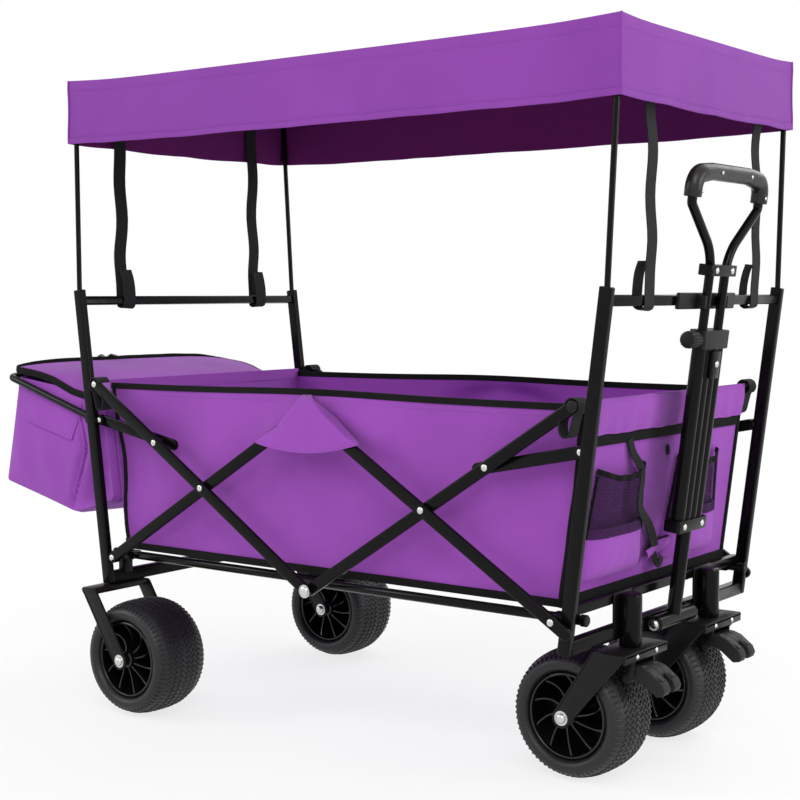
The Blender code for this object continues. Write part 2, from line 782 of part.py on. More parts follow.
def make_b_bar(name, end, side, body):
    """The scissor bar from the hub up to its free upper end, under the tub's rim."""
    hub = (0, HUB_Z)
    upper = (end * UPPER_END_X, UPPER_END_Z)
    crossing = (end * CROSSING_X, CROSSING_Z)
    link_end = (end * LINK_END_X, LINK_END_Z)
    layer = INNER_LAYER if end > 0 else OUTER_LAYER
    bar = side_plate(name, stadium(hub, upper, BAR_DEPTH / 2), span(side, *layer), crossing)
    inside = (layer[0] + layer[1]) / 2
    pin(bar, *link_end, side, LINK_LAYER[1] + SEAT_GAP, BOSS_RADIUS, inside)
    head(bar, *link_end, side, layer[1])
    head(bar, *upper, side, layer[1])
    if end > 0:
        hole(bar, *crossing, side, layer, PIN_RADIUS + PIN_CLEARANCE)
        head(bar, *hub, side, layer[0], HUB_BOLT_RADIUS, -0.004)
    else:
        pin(bar, *crossing, side, INNER_LAYER[0] - SEAT_GAP, from_y=inside)
        head(bar, *crossing, side, layer[1])
        head(bar, *hub, side, layer[1], HUB_BOLT_RADIUS, HUB_BOLT_HEIGHT)
    return finish(bar, "BlackSteel", body)


def make_link(name, end, side, body):
    start = (end * LINK_PIVOT_X, LINK_PIVOT_Z)
    stop = (end * LINK_END_X, LINK_END_Z)
    outline = stadium(start, stop, BAR_DEPTH / 2, 0.0, LINK_OVERHANG)
    link = side_plate(name, outline, span(side, *LINK_LAYER), start)
    hole(link, *start, side, LINK_LAYER, PIN_RADIUS + PIN_CLEARANCE)
    return finish(link, "BlackSteel", body)


def fork_arm(name, top_points, axle_x, y_range):
    """A fork's cheek: its front and back points on the crown, drawn down to a round end."""
    axle = Vector((axle_x, WHEEL_RADIUS))
    outline = list(top_points)
    angles = []
    for corner, turn in ((top_points[1], 1), (top_points[0], -1)):
        away = Vector(corner) - axle
        angles.append(math.atan2(away.y, away.x) + turn * math.acos(ARM_END_RADIUS / away.length))
    start, stop = angles
    if stop < start:
        stop += 2 * math.pi
    steps = 6
    for step in range(steps + 1):
        turn = start + (stop - start) * step / steps
        outline.append(
            (axle.x + ARM_END_RADIUS * math.cos(turn), axle.y + ARM_END_RADIUS * math.sin(turn))
        )
    return side_plate(name, outline, y_range)


def axle_with_nuts(base, axle_x, wheel_y):
    outer = ARM_OFFSET + ARM_THICKNESS
    reach = outer + AXLE_NUT_HEIGHT
    axle = cylinder(
        "Axle",
        AXLE_RADIUS,
        (axle_x, wheel_y - reach - 0.002, WHEEL_RADIUS),
        (axle_x, wheel_y + reach + 0.002, WHEEL_RADIUS),
        12,
    )
    join(base, axle)
    for turn in (-1, 1):
        nut = cylinder(
            "Nut",
            AXLE_NUT_RADIUS,
            (axle_x, wheel_y + turn * (outer - 0.001), WHEEL_RADIUS),
            (axle_x, wheel_y + turn * reach, WHEEL_RADIUS),
            6,
        )
        join(base, nut)
    return base


def make_caster(side_name, side, body, pedal_body):
    y = side * CASTER_Y
    outer = ARM_OFFSET + ARM_THICKNESS
    back = CASTER_X - CROWN_BACK
    front = CASTER_X + CROWN_FRONT
    fork = block(
        "CasterFork" + side_name, (back, y - outer, CROWN_BOTTOM_Z), (front, y + outer, CROWN_TOP_Z)
    )
    lip = block(
        "Lip",
        (front - CROWN_LIP_DEPTH, y - outer, CROWN_TOP_Z - CROWN_LIP_HEIGHT),
        (front, y + outer, CROWN_TOP_Z - 0.001),
    )
    stem = cylinder(
        "Stem",
        STEM_RADIUS,
        (CASTER_X, y, CROWN_BOTTOM_Z + 0.001),
        (CASTER_X, y, HOUSING_TOP_Z - HOUSING_ROOF - SEAT_GAP),
        12,
    )
    join(fork, lip, stem)
    for turn in (-1, 1):
        cheek = sorted((y + turn * ARM_OFFSET, y + turn * outer))
        top = [(front, CROWN_TOP_Z - 0.0005), (back, CROWN_TOP_Z - 0.0005)]
        join(fork, fork_arm("Arm", top, FRONT_AXLE_X, cheek))
    axle_with_nuts(fork, FRONT_AXLE_X, y)
    ear_start = PEDAL_HALF_WIDTH + BODY_GAP
    for turn in (-1, 1):
        sides = sorted((y + turn * ear_start, y + turn * (ear_start + PEDAL_EAR_THICKNESS)))
        ear = side_plate(
            "PedalEar",
            stadium((PEDAL_PIVOT_X, PEDAL_PIVOT_Z), (PEDAL_PIVOT_X, CROWN_BOTTOM_Z), 0.0065, steps=4),
            sides,
        )
        join(fork, ear)
    pin_end = ear_start + PEDAL_EAR_THICKNESS / 2
    join(
        fork,
        cylinder(
            "PedalPin",
            FLOOR_PIN_RADIUS,
            (PEDAL_PIVOT_X, y - pin_end, PEDAL_PIVOT_Z),
            (PEDAL_PIVOT_X, y + pin_end, PEDAL_PIVOT_Z),
            10,
        ),
    )
    finish(fork, "BlackPlastic", body)

    # The tread slopes down to the front, and its tail reaches back to the tyre.
    x, z = PEDAL_PIVOT_X, PEDAL_PIVOT_Z
    outline = [
        (x - 0.0030, z + 0.0055),
        (x - 0.0065, z + 0.0010),
        (x - 0.0155, z - 0.0125),
        (x - 0.0105, z - 0.0170),
        (x - 0.0060, z - 0.0170),
        (x + 0.0020, z - 0.0095),
        (x + 0.0130, z - 0.0110),
        (x + PEDAL_REACH - 0.0130, z - 0.0280),
        (x + PEDAL_REACH - 0.0030, z - 0.0260),
        (x + PEDAL_REACH, z - 0.0190),
        (x + PEDAL_REACH - 0.0040, z - 0.0100),
        (x + 0.0260, z + 0.0040),
        (x + 0.0150, z + 0.0075),
        (x + 0.0040, z + 0.0075),
    ]
    pedal = side_plate(
        "BrakePedal" + side_name, outline, (y - PEDAL_HALF_WIDTH, y + PEDAL_HALF_WIDTH), (x, z)
    )
    slot = block(
        "PedalSlot",
        (x + PEDAL_REACH - PEDAL_SLOT_DEPTH, y - PEDAL_SLOT_HALF_WIDTH, z - 0.05),
        (x + PEDAL_REACH + 0.01, y + PEDAL_SLOT_HALF_WIDTH, z + 0.02),
    )
    cut(pedal, slot)
    drill = cylinder(
        "PedalDrill",
        FLOOR_PIN_RADIUS + PIN_CLEARANCE,
        (x, y - PEDAL_HALF_WIDTH - 0.002, z),
        (x, y + PEDAL_HALF_WIDTH + 0.002, z),
        10,
    )
    cut(pedal, drill)
    finish(pedal, "BlackPlastic", pedal_body)


def make_rear_fork(side_name, side, body):
    y = side * REAR_WHEEL_Y
    outer = ARM_OFFSET + ARM_THICKNESS
    top = POST_FOOT_Z - SEAT_GAP
    fork = block(
        "RearFork" + side_name,
        (-REAR_CROWN_OUTER_X, y - outer, top - REAR_CROWN_THICKNESS),
        (-REAR_CROWN_INNER_X, y + outer, top),
    )
    for turn in (-1, 1):
        cheek = sorted((y + turn * ARM_OFFSET, y + turn * outer))
        corners = [(-REAR_CROWN_INNER_X, top - 0.0005), (-REAR_CROWN_OUTER_X, top - 0.0005)]
        join(fork, fork_arm("Arm", corners, -REAR_AXLE_X, cheek))
    axle_with_nuts(fork, -REAR_AXLE_X, y)
    finish(fork, "BlackPlastic", body)


def make_wheel(name, x, y, body):
    # The wheel stands on a facet, and its facets reach the wheel's radius.
    half_step = math.pi / WHEEL_STEPS
    place = Matrix.Translation((x, y, WHEEL_RADIUS)) @ Matrix.Rotation(-math.pi / 2, 4, "X")
    place = place @ Matrix.Rotation(half_step, 4, "Z")
    half = WHEEL_WIDTH / 2
    r = WHEEL_RADIUS / math.cos(half_step)
    bore = RIM_RADIUS + SEAT_GAP
    upper = [
        (bore, half - 0.0090),
        (bore + 0.0035, half - 0.0025),
        (r - 0.0180, half),
        (r - 0.0095, half - 0.0045),
        (r - 0.0025, half - 0.0160),
        (r, TREAD_HALF_WIDTH),
    ]
    profile = upper + [(radius, -height) for radius, height in reversed(upper)]
    tyre = turned(name + "Tyre", profile, WHEEL_STEPS, place, closed=True)
    finish(tyre, "BlackRubber", body)

    bore = AXLE_RADIUS + BODY_GAP
    inner = RIM_RADIUS - RIM_WALL
    upper = [
        (bore, HUB_HALF_WIDTH),
        (HUB_RADIUS, HUB_HALF_WIDTH),
        (HUB_RADIUS, WEB_HALF_THICKNESS),
        (inner, WEB_HALF_THICKNESS),
        (inner, RIM_HALF_WIDTH),
        (RIM_RADIUS, RIM_HALF_WIDTH),
    ]
    profile = upper + [(radius, -height) for radius, height in reversed(upper)]
    rim = turned(name + "Rim", profile, WHEEL_STEPS, place, closed=True)
    start = HUB_RADIUS - 0.001
    stop = inner + 0.001
    for spoke in range(SPOKES):
        outline = spoke_outline(start, stop, 2 * math.pi * spoke / SPOKES)
        join(rim, flat("Spoke", outline, 2 * SPOKE_HALF_WIDTH, place))
    finish(rim, "BlackPlastic", body)


def spoke_outline(start, stop, first_angle, steps=2):
    """A blade that curves as it runs outwards, thinner at the rim than at the hub."""
    path = []
    for step in range(steps + 1):
        share = step / steps
        radius = start + (stop - start) * share
        turn = first_angle + SPOKE_SWEEP * share * share
        path.append((radius * math.cos(turn), radius * math.sin(turn)))
    return ribbon(path, SPOKE_THICKNESS)


def handle_frame():
    return Matrix.Translation((HANDLE_X, 0, HANDLE_Z)) @ Matrix.Rotation(HANDLE_LEAN, 4, "Y")


def sleeve_outline():
    """Round lobes side by side, the section of the handle's ribbed outer sleeve."""
    outline = []
    first = -(SLEEVE_LOBES - 1) / 2 * SLEEVE_LOBE_PITCH
    valley = math.acos(SLEEVE_LOBE_PITCH / 2 / SLEEVE_LOBE_RADIUS)
    steps = 4
    for turn in (1, -1):
        for lobe in range(SLEEVE_LOBES):
            centre = turn * (first + lobe * SLEEVE_LOBE_PITCH)
            start = math.pi - (0 if lobe == 0 else valley)
            stop = 0 if lobe == SLEEVE_LOBES - 1 else valley
            for step in range(steps + 1):
                if step == 0 and lobe > 0 or step == 0 and turn < 0:
                    continue
                angle = start + (stop - start) * step / steps
                outline.append(
                    (
                        turn * SLEEVE_LOBE_RADIUS * math.sin(angle),
                        centre + turn * SLEEVE_LOBE_RADIUS * math.cos(angle),
                    )
                )
    return outline[:-1]


def tube_bores(base, start, stop, place):
    for side in (-1, 1):
        y = side * INNER_TUBE_Y
        bore = cylinder("Bore", INNER_TUBE_RADIUS + BORE_CLEARANCE, (0, y, start), (0, y, stop), 12, place)
        cut(base, bore)
    return base


def make_handle(body, knob_body, slide_body):
    place = handle_frame()
    lower = cylinder(
        "HandleLowerTube", LOWER_TUBE_RADIUS, (0, 0, 0), (0, 0, LOWER_CLAMP_START + 0.002), 16, place
    )
    half = PIVOT_TUBE_HALF_LENGTH
    cross = cylinder("CrossTube", PIVOT_TUBE_RADIUS, (0, -half, 0), (0, half, 0), 16, place)
    clamp = block(
        "LowerClamp",
        (-LOWER_CLAMP_HALF_DEPTH, -LOWER_CLAMP_HALF_WIDTH, LOWER_CLAMP_START),
        (LOWER_CLAMP_HALF_DEPTH, LOWER_CLAMP_HALF_WIDTH, SLEEVE_START),
        place,
        edge=0.003,
    )
    sleeve_length = SLEEVE_END - SLEEVE_START + 0.001
    sleeve_place = place @ Matrix.Translation((0, 0, SLEEVE_END - sleeve_length / 2))
    sleeve = flat("Sleeve", sleeve_outline(), sleeve_length, sleeve_place)
    lock = block(
        "LockBlock",
        (SLEEVE_LOBE_RADIUS - 0.006, -LOCK_BLOCK_HALF_WIDTH, SLEEVE_END - LOCK_BLOCK_HEIGHT),
        (SLEEVE_LOBE_RADIUS + LOCK_BLOCK_DEPTH, LOCK_BLOCK_HALF_WIDTH, SLEEVE_END - 0.002),
        place,
    )
    join(lower, cross, clamp, sleeve, lock)
    tube_bores(lower, INNER_TUBE_START - 0.004, SLEEVE_END + 0.01, place)
    bolt_bore = cylinder(
        "BoltBore",
        PIVOT_BOLT_RADIUS + BORE_CLEARANCE,
        (0, -half - 0.01, 0),
        (0, half + 0.01, 0),
        12,
        place,
    )
    cut(lower, bolt_bore)
    finish(lower, "BlackSteel", body)

    collar_start = SLEEVE_END + SEAT_GAP
    collar_stop = collar_start + COLLAR_HEIGHT
    collar = block(
        "HandleCollar",
        (-COLLAR_HALF_DEPTH, -COLLAR_HALF_WIDTH, collar_start),
        (COLLAR_HALF_DEPTH, COLLAR_HALF_WIDTH, collar_stop),
        place,
        edge=0.003,
    )
    tube_bores(collar, collar_start - 0.01, collar_stop + 0.01, place)
    finish(collar, "BlackPlastic", body)

    knob_y = -COLLAR_HALF_WIDTH - SEAT_GAP
    knob_s = collar_start + COLLAR_HEIGHT / 2
    outline = []
    for index in range(KNOB_RIBS * 2):
        radius = KNOB_RADIUS if index % 2 == 0 else KNOB_RADIUS - 0.0016
        for shift in (-0.3, 0.3):
            turn = math.pi * (index + shift) / KNOB_RIBS
            outline.append((radius * math.cos(turn), radius * math.sin(turn)))
    knob_place = (
        place
        @ Matrix.Translation((0, knob_y - KNOB_LENGTH / 2, knob_s))
        @ Matrix.Rotation(math.pi / 2, 4, "X")
    )
    finish(flat("HandleLockKnob", outline, KNOB_LENGTH, knob_place), "BlackPlastic", knob_body)

    loop = None
    for side in (-1, 1):
        way = [
            (0, side * INNER_TUBE_Y, INNER_TUBE_START),
            (0, side * INNER_TUBE_Y, LOOP_SPREAD_START),
            (0, side * LOOP_HALF_WIDTH, GRIP_START - 0.008),
            (0, side * LOOP_HALF_WIDTH, GRIP_START - SEAT_GAP),
        ]
        arm = tube("HandleLoop", bent_each(way, (0.030, 0.006)), INNER_TUBE_RADIUS, place)
        if loop is None:
            loop = arm
        else:
            other = arm
    clamp = block(
        "UpperClamp",
        (-UPPER_CLAMP_HALF_DEPTH, -UPPER_CLAMP_HALF_WIDTH, UPPER_CLAMP_AT - UPPER_CLAMP_HALF_HEIGHT),
        (UPPER_CLAMP_HALF_DEPTH, UPPER_CLAMP_HALF_WIDTH, UPPER_CLAMP_AT + UPPER_CLAMP_HALF_HEIGHT),
        place,
        edge=0.003,
    )
    join(loop, clamp, other)
    finish(loop, "BlackSteel", slide_body)

    way = [
        (0, -LOOP_HALF_WIDTH, GRIP_START),
        (0, -LOOP_HALF_WIDTH, GRIP_TOP - 0.006),
        (0, -GRIP_FLAT_HALF_WIDTH, GRIP_TOP),
        (0, GRIP_FLAT_HALF_WIDTH, GRIP_TOP),
        (0, LOOP_HALF_WIDTH, GRIP_TOP - 0.006),
        (0, LOOP_HALF_WIDTH, GRIP_START),
    ]
    grip = tube("HandleGrip", bent_each(way, (0.020, 0.030, 0.030, 0.020)), GRIP_RADIUS, place, 3)
    finish(grip, "BlackPlastic", slide_body)


def bent_each(points, radii, steps=4):
    """As bent, with a radius of its own for each corner."""
    path = [Vector(points[0])]
    for index, radius in enumerate(radii):
        corner = bent(points[index:index + 3], radius, steps)
        path.extend(corner[1:-1])
    path.append(Vector(points[-1]))
    return path


def make_clip(body):
    """The rest on the top rail that the upright handle lies in."""
    place = Matrix.Translation((post_x(RAIL_Z), 0, RAIL_Z)) @ Matrix.Rotation(POST_LEAN, 4, "Y")
    face = RAIL_DEPTH / 2 + SEAT_GAP
    half = CLIP_HEIGHT / 2
    clip = block(
        "HandleClip",
        (face, -CLIP_HALF_WIDTH, -half),
        (face + CLIP_THICKNESS, CLIP_HALF_WIDTH, half),
        place,
        edge=0.0015,
    )
    wall = INNER_TUBE_Y + INNER_TUBE_RADIUS + 0.001
    for side in (-1, 1):
        low, high = span(side, wall, wall + 0.005)
        hook = block(
            "Hook",
            (face + 0.002, low, -half + 0.002),
            (face + CLIP_HOOK_DEPTH, high, half - 0.002),
            place,
        )
        join(clip, hook)
    finish(clip, "BlackPlastic", body)


def make_rod(name, end, side, body):
    foot = Vector((end * POST_TOP_X, side * FRAME_HALF_WIDTH, POST_TOP_Z + 2 * SEAT_GAP))
    top = Vector((end * ROD_TOP_X, side * ROD_TOP_Y, CANOPY_TOP_Z - CANOPY_WALL - BODY_GAP))
    along = top - foot
    place = Matrix.Translation(foot) @ along.to_track_quat("Z", "Y").to_matrix().to_4x4()
    profile = [
        (0, along.length),
        (ROD_RADIUS, along.length),
        (ROD_RADIUS, ROD_FOOT_LENGTH),
        (ROD_FOOT_RADIUS, ROD_FOOT_LENGTH - 0.001),
        (ROD_FOOT_RADIUS, 0),
        (0, 0),
    ]
    finish(turned(name, profile, 10, place), "BlackSteel", body)


def make_strap(name, end, side, body):
    """Webbing that hangs from the canopy's edge and goes round the top rail."""
    rail_x = post_x(RAIL_Z)
    away = RAIL_DEPTH / 2 + STRAP_THICKNESS / 2 + BODY_GAP + 0.001
    low = RAIL_HEIGHT / 2 + STRAP_THICKNESS / 2 + BODY_GAP + 0.001
    path = [
        (STRAP_TOP_X, CANOPY_TOP_Z - CANOPY_WALL - BODY_GAP),
        (rail_x + away + 0.001, RAIL_Z + low),
        (rail_x + away, RAIL_Z - low + 0.003),
        (rail_x + away - 0.003, RAIL_Z - low),
        (rail_x - away + 0.003, RAIL_Z - low),
        (rail_x - away, RAIL_Z - low + 0.003),
        (rail_x - away, RAIL_Z + low),
        (rail_x - away + 0.008, RAIL_Z + low + STRAP_BACK_LENGTH),
    ]
    outline = [(end * x, z) for x, z in ribbon(path, STRAP_THICKNESS)]
    y = side * STRAP_Y
    strap = side_plate(name, outline, (y - STRAP_WIDTH / 2, y + STRAP_WIDTH / 2))
    finish(strap, "BlackWebbing", body)


def make_canopy(body):
    outer = block(
        "Canopy",
        (-CANOPY_HALF_LENGTH, -CANOPY_HALF_WIDTH, CANOPY_BOTTOM_Z),
        (CANOPY_HALF_LENGTH, CANOPY_HALF_WIDTH, CANOPY_TOP_Z),
    )
    length = CANOPY_HALF_LENGTH - CANOPY_WALL
    width = CANOPY_HALF_WIDTH - CANOPY_WALL
    hollow = block(
        "Hollow", (-length, -width, CANOPY_BOTTOM_Z - 0.01), (length, width, CANOPY_TOP_Z - CANOPY_WALL)
    )
    finish(cut(outer, hollow), "PurpleCloth", body)


def wall_x(end, z):
    """The middle of an end wall of the tub at this height."""
    inset = FRONT_WALL_INSET if end > 0 else REAR_WALL_INSET
    return end * (post_x(z) - inset)


def make_tub(body):
    """Floor and side walls in one, with the flap that hangs over each top pivot."""
    inset = END_WALL_THICKNESS / 2 / math.cos(POST_LEAN) + BODY_GAP
    outline = [
        (wall_x(-1, TUB_BOTTOM_Z) + inset, TUB_BOTTOM_Z),
        (wall_x(1, TUB_BOTTOM_Z) - inset, TUB_BOTTOM_Z),
        (wall_x(1, TUB_TOP_Z) - inset, TUB_TOP_Z),
        (wall_x(-1, TUB_TOP_Z) + inset, TUB_TOP_Z),
    ]
    tub = side_plate("TubCloth", outline, (-TUB_HALF_WIDTH, TUB_HALF_WIDTH))
    inside = TUB_HALF_WIDTH - TUB_WALL
    hollow = block(
        "TubHollow", (-0.6, -inside, TUB_BOTTOM_Z + TUB_WALL), (0.6, inside, TUB_TOP_Z + 0.05)
    )
    cut(tub, hollow)
    flap_face = OUTER_LAYER[1] + FLAP_CLEARANCE
    flap_outside = flap_face + FLAP_THICKNESS
    for side in (-1, 1):
        bridge = block(
            "Bridge",
            (FLAP_PEAK_X - FLAP_HALF_TOP, span(side, TUB_HALF_WIDTH - 0.001, flap_outside)[0], TUB_TOP_Z - 0.0095),
            (FLAP_PEAK_X + FLAP_HALF_TOP, span(side, TUB_HALF_WIDTH - 0.001, flap_outside)[1], TUB_TOP_Z - 0.0040),
        )
        flap = side_plate(
            "Flap",
            [
                (FLAP_PEAK_X - FLAP_HALF_BOTTOM, FLAP_BOTTOM_Z + 0.008),
                (FLAP_PEAK_X, FLAP_BOTTOM_Z - 0.006),
                (FLAP_PEAK_X + FLAP_HALF_BOTTOM, FLAP_BOTTOM_Z + 0.008),
                (FLAP_PEAK_X + FLAP_HALF_TOP, TUB_TOP_Z - 0.003),
                (FLAP_PEAK_X - FLAP_HALF_TOP, TUB_TOP_Z - 0.003),
            ],
            span(side, flap_face, flap_outside),
        )
        join(tub, bridge, flap)
    finish(tub, "PurpleCloth", body)


def make_end_wall(name, end, body):
    """A leaning wall that closes the tub from its underside up."""
    height = (END_WALL_TOP_Z - TUB_BOTTOM_Z) / math.cos(POST_LEAN)
    place = Matrix.Translation((wall_x(end, TUB_BOTTOM_Z), 0, TUB_BOTTOM_Z))
    place = place @ Matrix.Rotation(end * POST_LEAN, 4, "Y")
    half = END_WALL_THICKNESS / 2
    wall = block(name, (-half, -TUB_HALF_WIDTH, 0), (half, TUB_HALF_WIDTH, height), place)
    if end > 0:
        for centre in POCKET_CENTRES:
            add_pocket(wall, centre, place)
    finish(wall, "PurpleCloth", body)


def pocket_outline(centre, shrink, extra_top):
    half_bottom = POCKET_HALF_BOTTOM - shrink
    half_top = POCKET_HALF_TOP - shrink
    low = POCKET_BOTTOM + shrink
    high = POCKET_BOTTOM + POCKET_HEIGHT + extra_top
    waist = POCKET_BOTTOM + POCKET_HEIGHT * 0.45
    return [
        (centre - half_bottom, low),
        (centre + half_bottom, low),
        (centre + half_bottom * 0.97, waist),
        (centre + half_top, high),
        (centre - half_top, high),
        (centre - half_bottom * 0.97, waist),
    ]


def add_pocket(wall, centre, place):
    """A pocket with an open top, standing out from the wall's front face."""
    face = END_WALL_THICKNESS / 2
    across = Matrix(((0, 0, 1, 0), (1, 0, 0, 0), (0, 1, 0, 0), (0, 0, 0, 1)))
    outer_middle = Matrix.Translation((face + POCKET_DEPTH / 2 - 0.0005, 0, 0))
    pocket = flat(
        "Pocket", pocket_outline(centre, 0, 0), POCKET_DEPTH + 0.001, place @ outer_middle @ across
    )
    inner_depth = POCKET_DEPTH - POCKET_WALL
    inner_middle = Matrix.Translation((face + inner_depth / 2, 0, 0))
    hollow = flat(
        "PocketHollow",
        pocket_outline(centre, POCKET_WALL, 0.01),
        inner_depth,
        place @ inner_middle @ across,
    )
    join(wall, pocket)
    cut(wall, hollow)


def make_bag(frame_body, lid_body):
    x, z = BAG_PIVOT_X, BAG_PIVOT_Z
    way = [
        (-x, -BAG_FRAME_Y, z),
        (-BAG_FRAME_END_X, -BAG_FRAME_Y, BAG_FRAME_END_Z),
        (-BAG_FRAME_END_X, BAG_FRAME_Y, BAG_FRAME_END_Z),
        (-x, BAG_FRAME_Y, z),
    ]
    away = Vector((-(BAG_FRAME_END_X - x), 0, BAG_FRAME_END_Z - z)).normalized()
    for index in (0, 3):
        way[index] = tuple(Vector(way[index]) - away * 0.006)
    frame = tube("BagFrame", bent(way, BAG_FRAME_BEND), BAG_FRAME_RADIUS)
    layer = (BAG_FRAME_Y - BAG_FRAME_RADIUS, BAG_FRAME_Y + BAG_FRAME_RADIUS)
    for side in (-1, 1):
        hole(frame, -x, z, side, layer, FLOOR_PIN_RADIUS + PIN_CLEARANCE)
    finish(frame, "BlackSteel", frame_body)

    half = LID_THICKNESS / 2
    lid = side_plate(
        "BagLid",
        [
            (-LID_HINGE_X, LID_HINGE_Z - half),
            (-LID_HINGE_X, LID_HINGE_Z + half),
            (-LID_OUTER_X, LID_OUTER_Z + half),
            (-LID_OUTER_X, LID_OUTER_Z - half),
        ],
        (-BAG_HALF_WIDTH, BAG_HALF_WIDTH),
        (-LID_HINGE_X, LID_HINGE_Z + half),
    )
    finish(rounded(lid, 0.004), "PurpleCloth", lid_body)

    # The body is drawn too tall and then cut flat under the lid, so that its rim stays sharp.
    under = half + BODY_GAP
    top_inner = Vector((LID_HINGE_X, LID_HINGE_Z - under))
    top_outer = Vector((LID_OUTER_X, LID_OUTER_Z - under))
    raised = Vector((0, 3 * BAG_EDGE))
    bottom = [Vector(BAG_OUTER_BOTTOM), Vector(BAG_CORNER_BOTTOM), Vector(BAG_INNER_BOTTOM)]
    outline = [
        top_inner + (top_inner - bottom[2]).normalized() * 3 * BAG_EDGE,
        top_outer + (top_outer - bottom[0]).normalized() * 3 * BAG_EDGE,
        *bottom,
    ]
    body = side_plate("BagBody", [(-px, pz) for px, pz in outline], (-BAG_HALF_WIDTH, BAG_HALF_WIDTH))
    rounded(body, BAG_EDGE)
    along = (top_outer - top_inner).normalized() * 0.1
    above = [top_inner - along, top_outer + along, top_outer + along + 4 * raised]
    above.append(top_inner - along + 4 * raised)
    half_past = BAG_HALF_WIDTH + 0.01
    cut(body, side_plate("BagTop", [(-px, pz) for px, pz in above], (-half_past, half_past)))
    centre = (top_inner + top_outer + sum(bottom, Vector((0, 0)))) / 5
    inside = []
    for corner in (top_inner, top_outer, *bottom):
        moved = corner + (centre - corner).normalized() * 2 * BAG_WALL
        if corner in (top_inner, top_outer):
            moved.y = corner.y + 0.02
        inside.append((-moved.x, moved.y))
    width = BAG_HALF_WIDTH - BAG_WALL
    cut(body, side_plate("BagHollow", inside, (-width, width)))
    finish(body, "PurpleCloth", frame_body)


clear_scene()
pivots = {}
parts = new_collection("FoldingWagon")
root = pivot("FoldingWagonOrigin", (0, 0, 0))
front = pivot("FrontFrame", (0, 0, 0), root)
rear = pivot("RearFrame", (-FOOT_X, 0, FOOT_Z), root)

for end_name, end, body in (("Front", 1, front), ("Rear", -1, rear)):
    make_rail(end_name + "TopRail", end, body)
    for side_name, side in SIDES:
        make_post(end_name + "Post" + side_name, end, side, body)
        make_rod(end_name + "Rod" + side_name, end, side, body)
        make_strap(end_name + "Strap" + side_name, end, side, body)
        a_body = pivot(end_name + "ABar" + side_name + "Pivot", (end * FOOT_X, 0, FOOT_Z), root)
        make_a_bar(end_name + "ABar" + side_name, end, side, a_body)
        b_body = pivot(end_name + "BBar" + side_name + "Pivot", (end * CROSSING_X, 0, CROSSING_Z), root)
        make_b_bar(end_name + "BBar" + side_name, end, side, b_body)
        link_body = pivot(end_name + "Link" + side_name + "Pivot", (end * LINK_PIVOT_X, 0, LINK_PIVOT_Z), body)
        make_link(end_name + "Link" + side_name, end, side, link_body)
        distance = FRONT_FLOOR_BAR_Y if end > 0 else REAR_FLOOR_BAR_Y
        floor_body = pivot(end_name + "FloorBar" + side_name + "Pivot", (end * FLOOR_HINGE_X, 0, FLOOR_BAR_Z), body)
        make_floor_bar(end_name + "FloorBar" + side_name, end, side, distance, floor_body)
    make_end_wall("Tub" + end_name + "Wall", end, body)

make_front_crossbars(front)
make_rear_crossbar(rear)
make_clip(front)
make_canopy(front)
make_tub(front)

for side_name, side in SIDES:
    caster_y = side * CASTER_Y
    swivel = pivot("Caster" + side_name + "Swivel", (CASTER_X, caster_y, CROWN_TOP_Z), front)
    pedal_body = pivot("Brake" + side_name + "Pivot", (PEDAL_PIVOT_X, caster_y, PEDAL_PIVOT_Z), swivel)
    make_caster(side_name, side, swivel, pedal_body)
    spin = pivot("FrontWheel" + side_name + "Axle", (FRONT_AXLE_X, caster_y, WHEEL_RADIUS), swivel)
    make_wheel("FrontWheel" + side_name, FRONT_AXLE_X, caster_y, spin)
    make_rear_fork(side_name, side, rear)
    spin = pivot("RearWheel" + side_name + "Axle", (-REAR_AXLE_X, side * REAR_WHEEL_Y, WHEEL_RADIUS), rear)
    make_wheel("RearWheel" + side_name, -REAR_AXLE_X, side * REAR_WHEEL_Y, spin)

handle = pivot("HandlePivot", (HANDLE_X, 0, HANDLE_Z), front)
collar_middle = SLEEVE_END + SEAT_GAP + COLLAR_HEIGHT / 2
knob = pivot("LockKnobPivot", tuple(handle_frame() @ Vector((0, 0, collar_middle))), handle)
slide = pivot("HandleSlide", tuple(handle_frame() @ Vector((0, 0, INNER_TUBE_START))), handle)
make_handle(handle, knob, slide)

bag_frame = pivot("BagFramePivot", (-BAG_PIVOT_X, 0, BAG_PIVOT_Z), rear)
bag_lid = pivot("BagLidHinge", (-LID_HINGE_X, 0, LID_HINGE_Z + LID_THICKNESS / 2), bag_frame)
make_bag(bag_frame, bag_lid)

root.location.x = MIDDLE_X
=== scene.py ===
"""Folding wagon, dressed: cloth tub, canopy, lidded rear bag, casters and pull handle."""

import json
import math

import bmesh
import bpy
import numpy as np
from mathutils import Matrix, Vector, noise


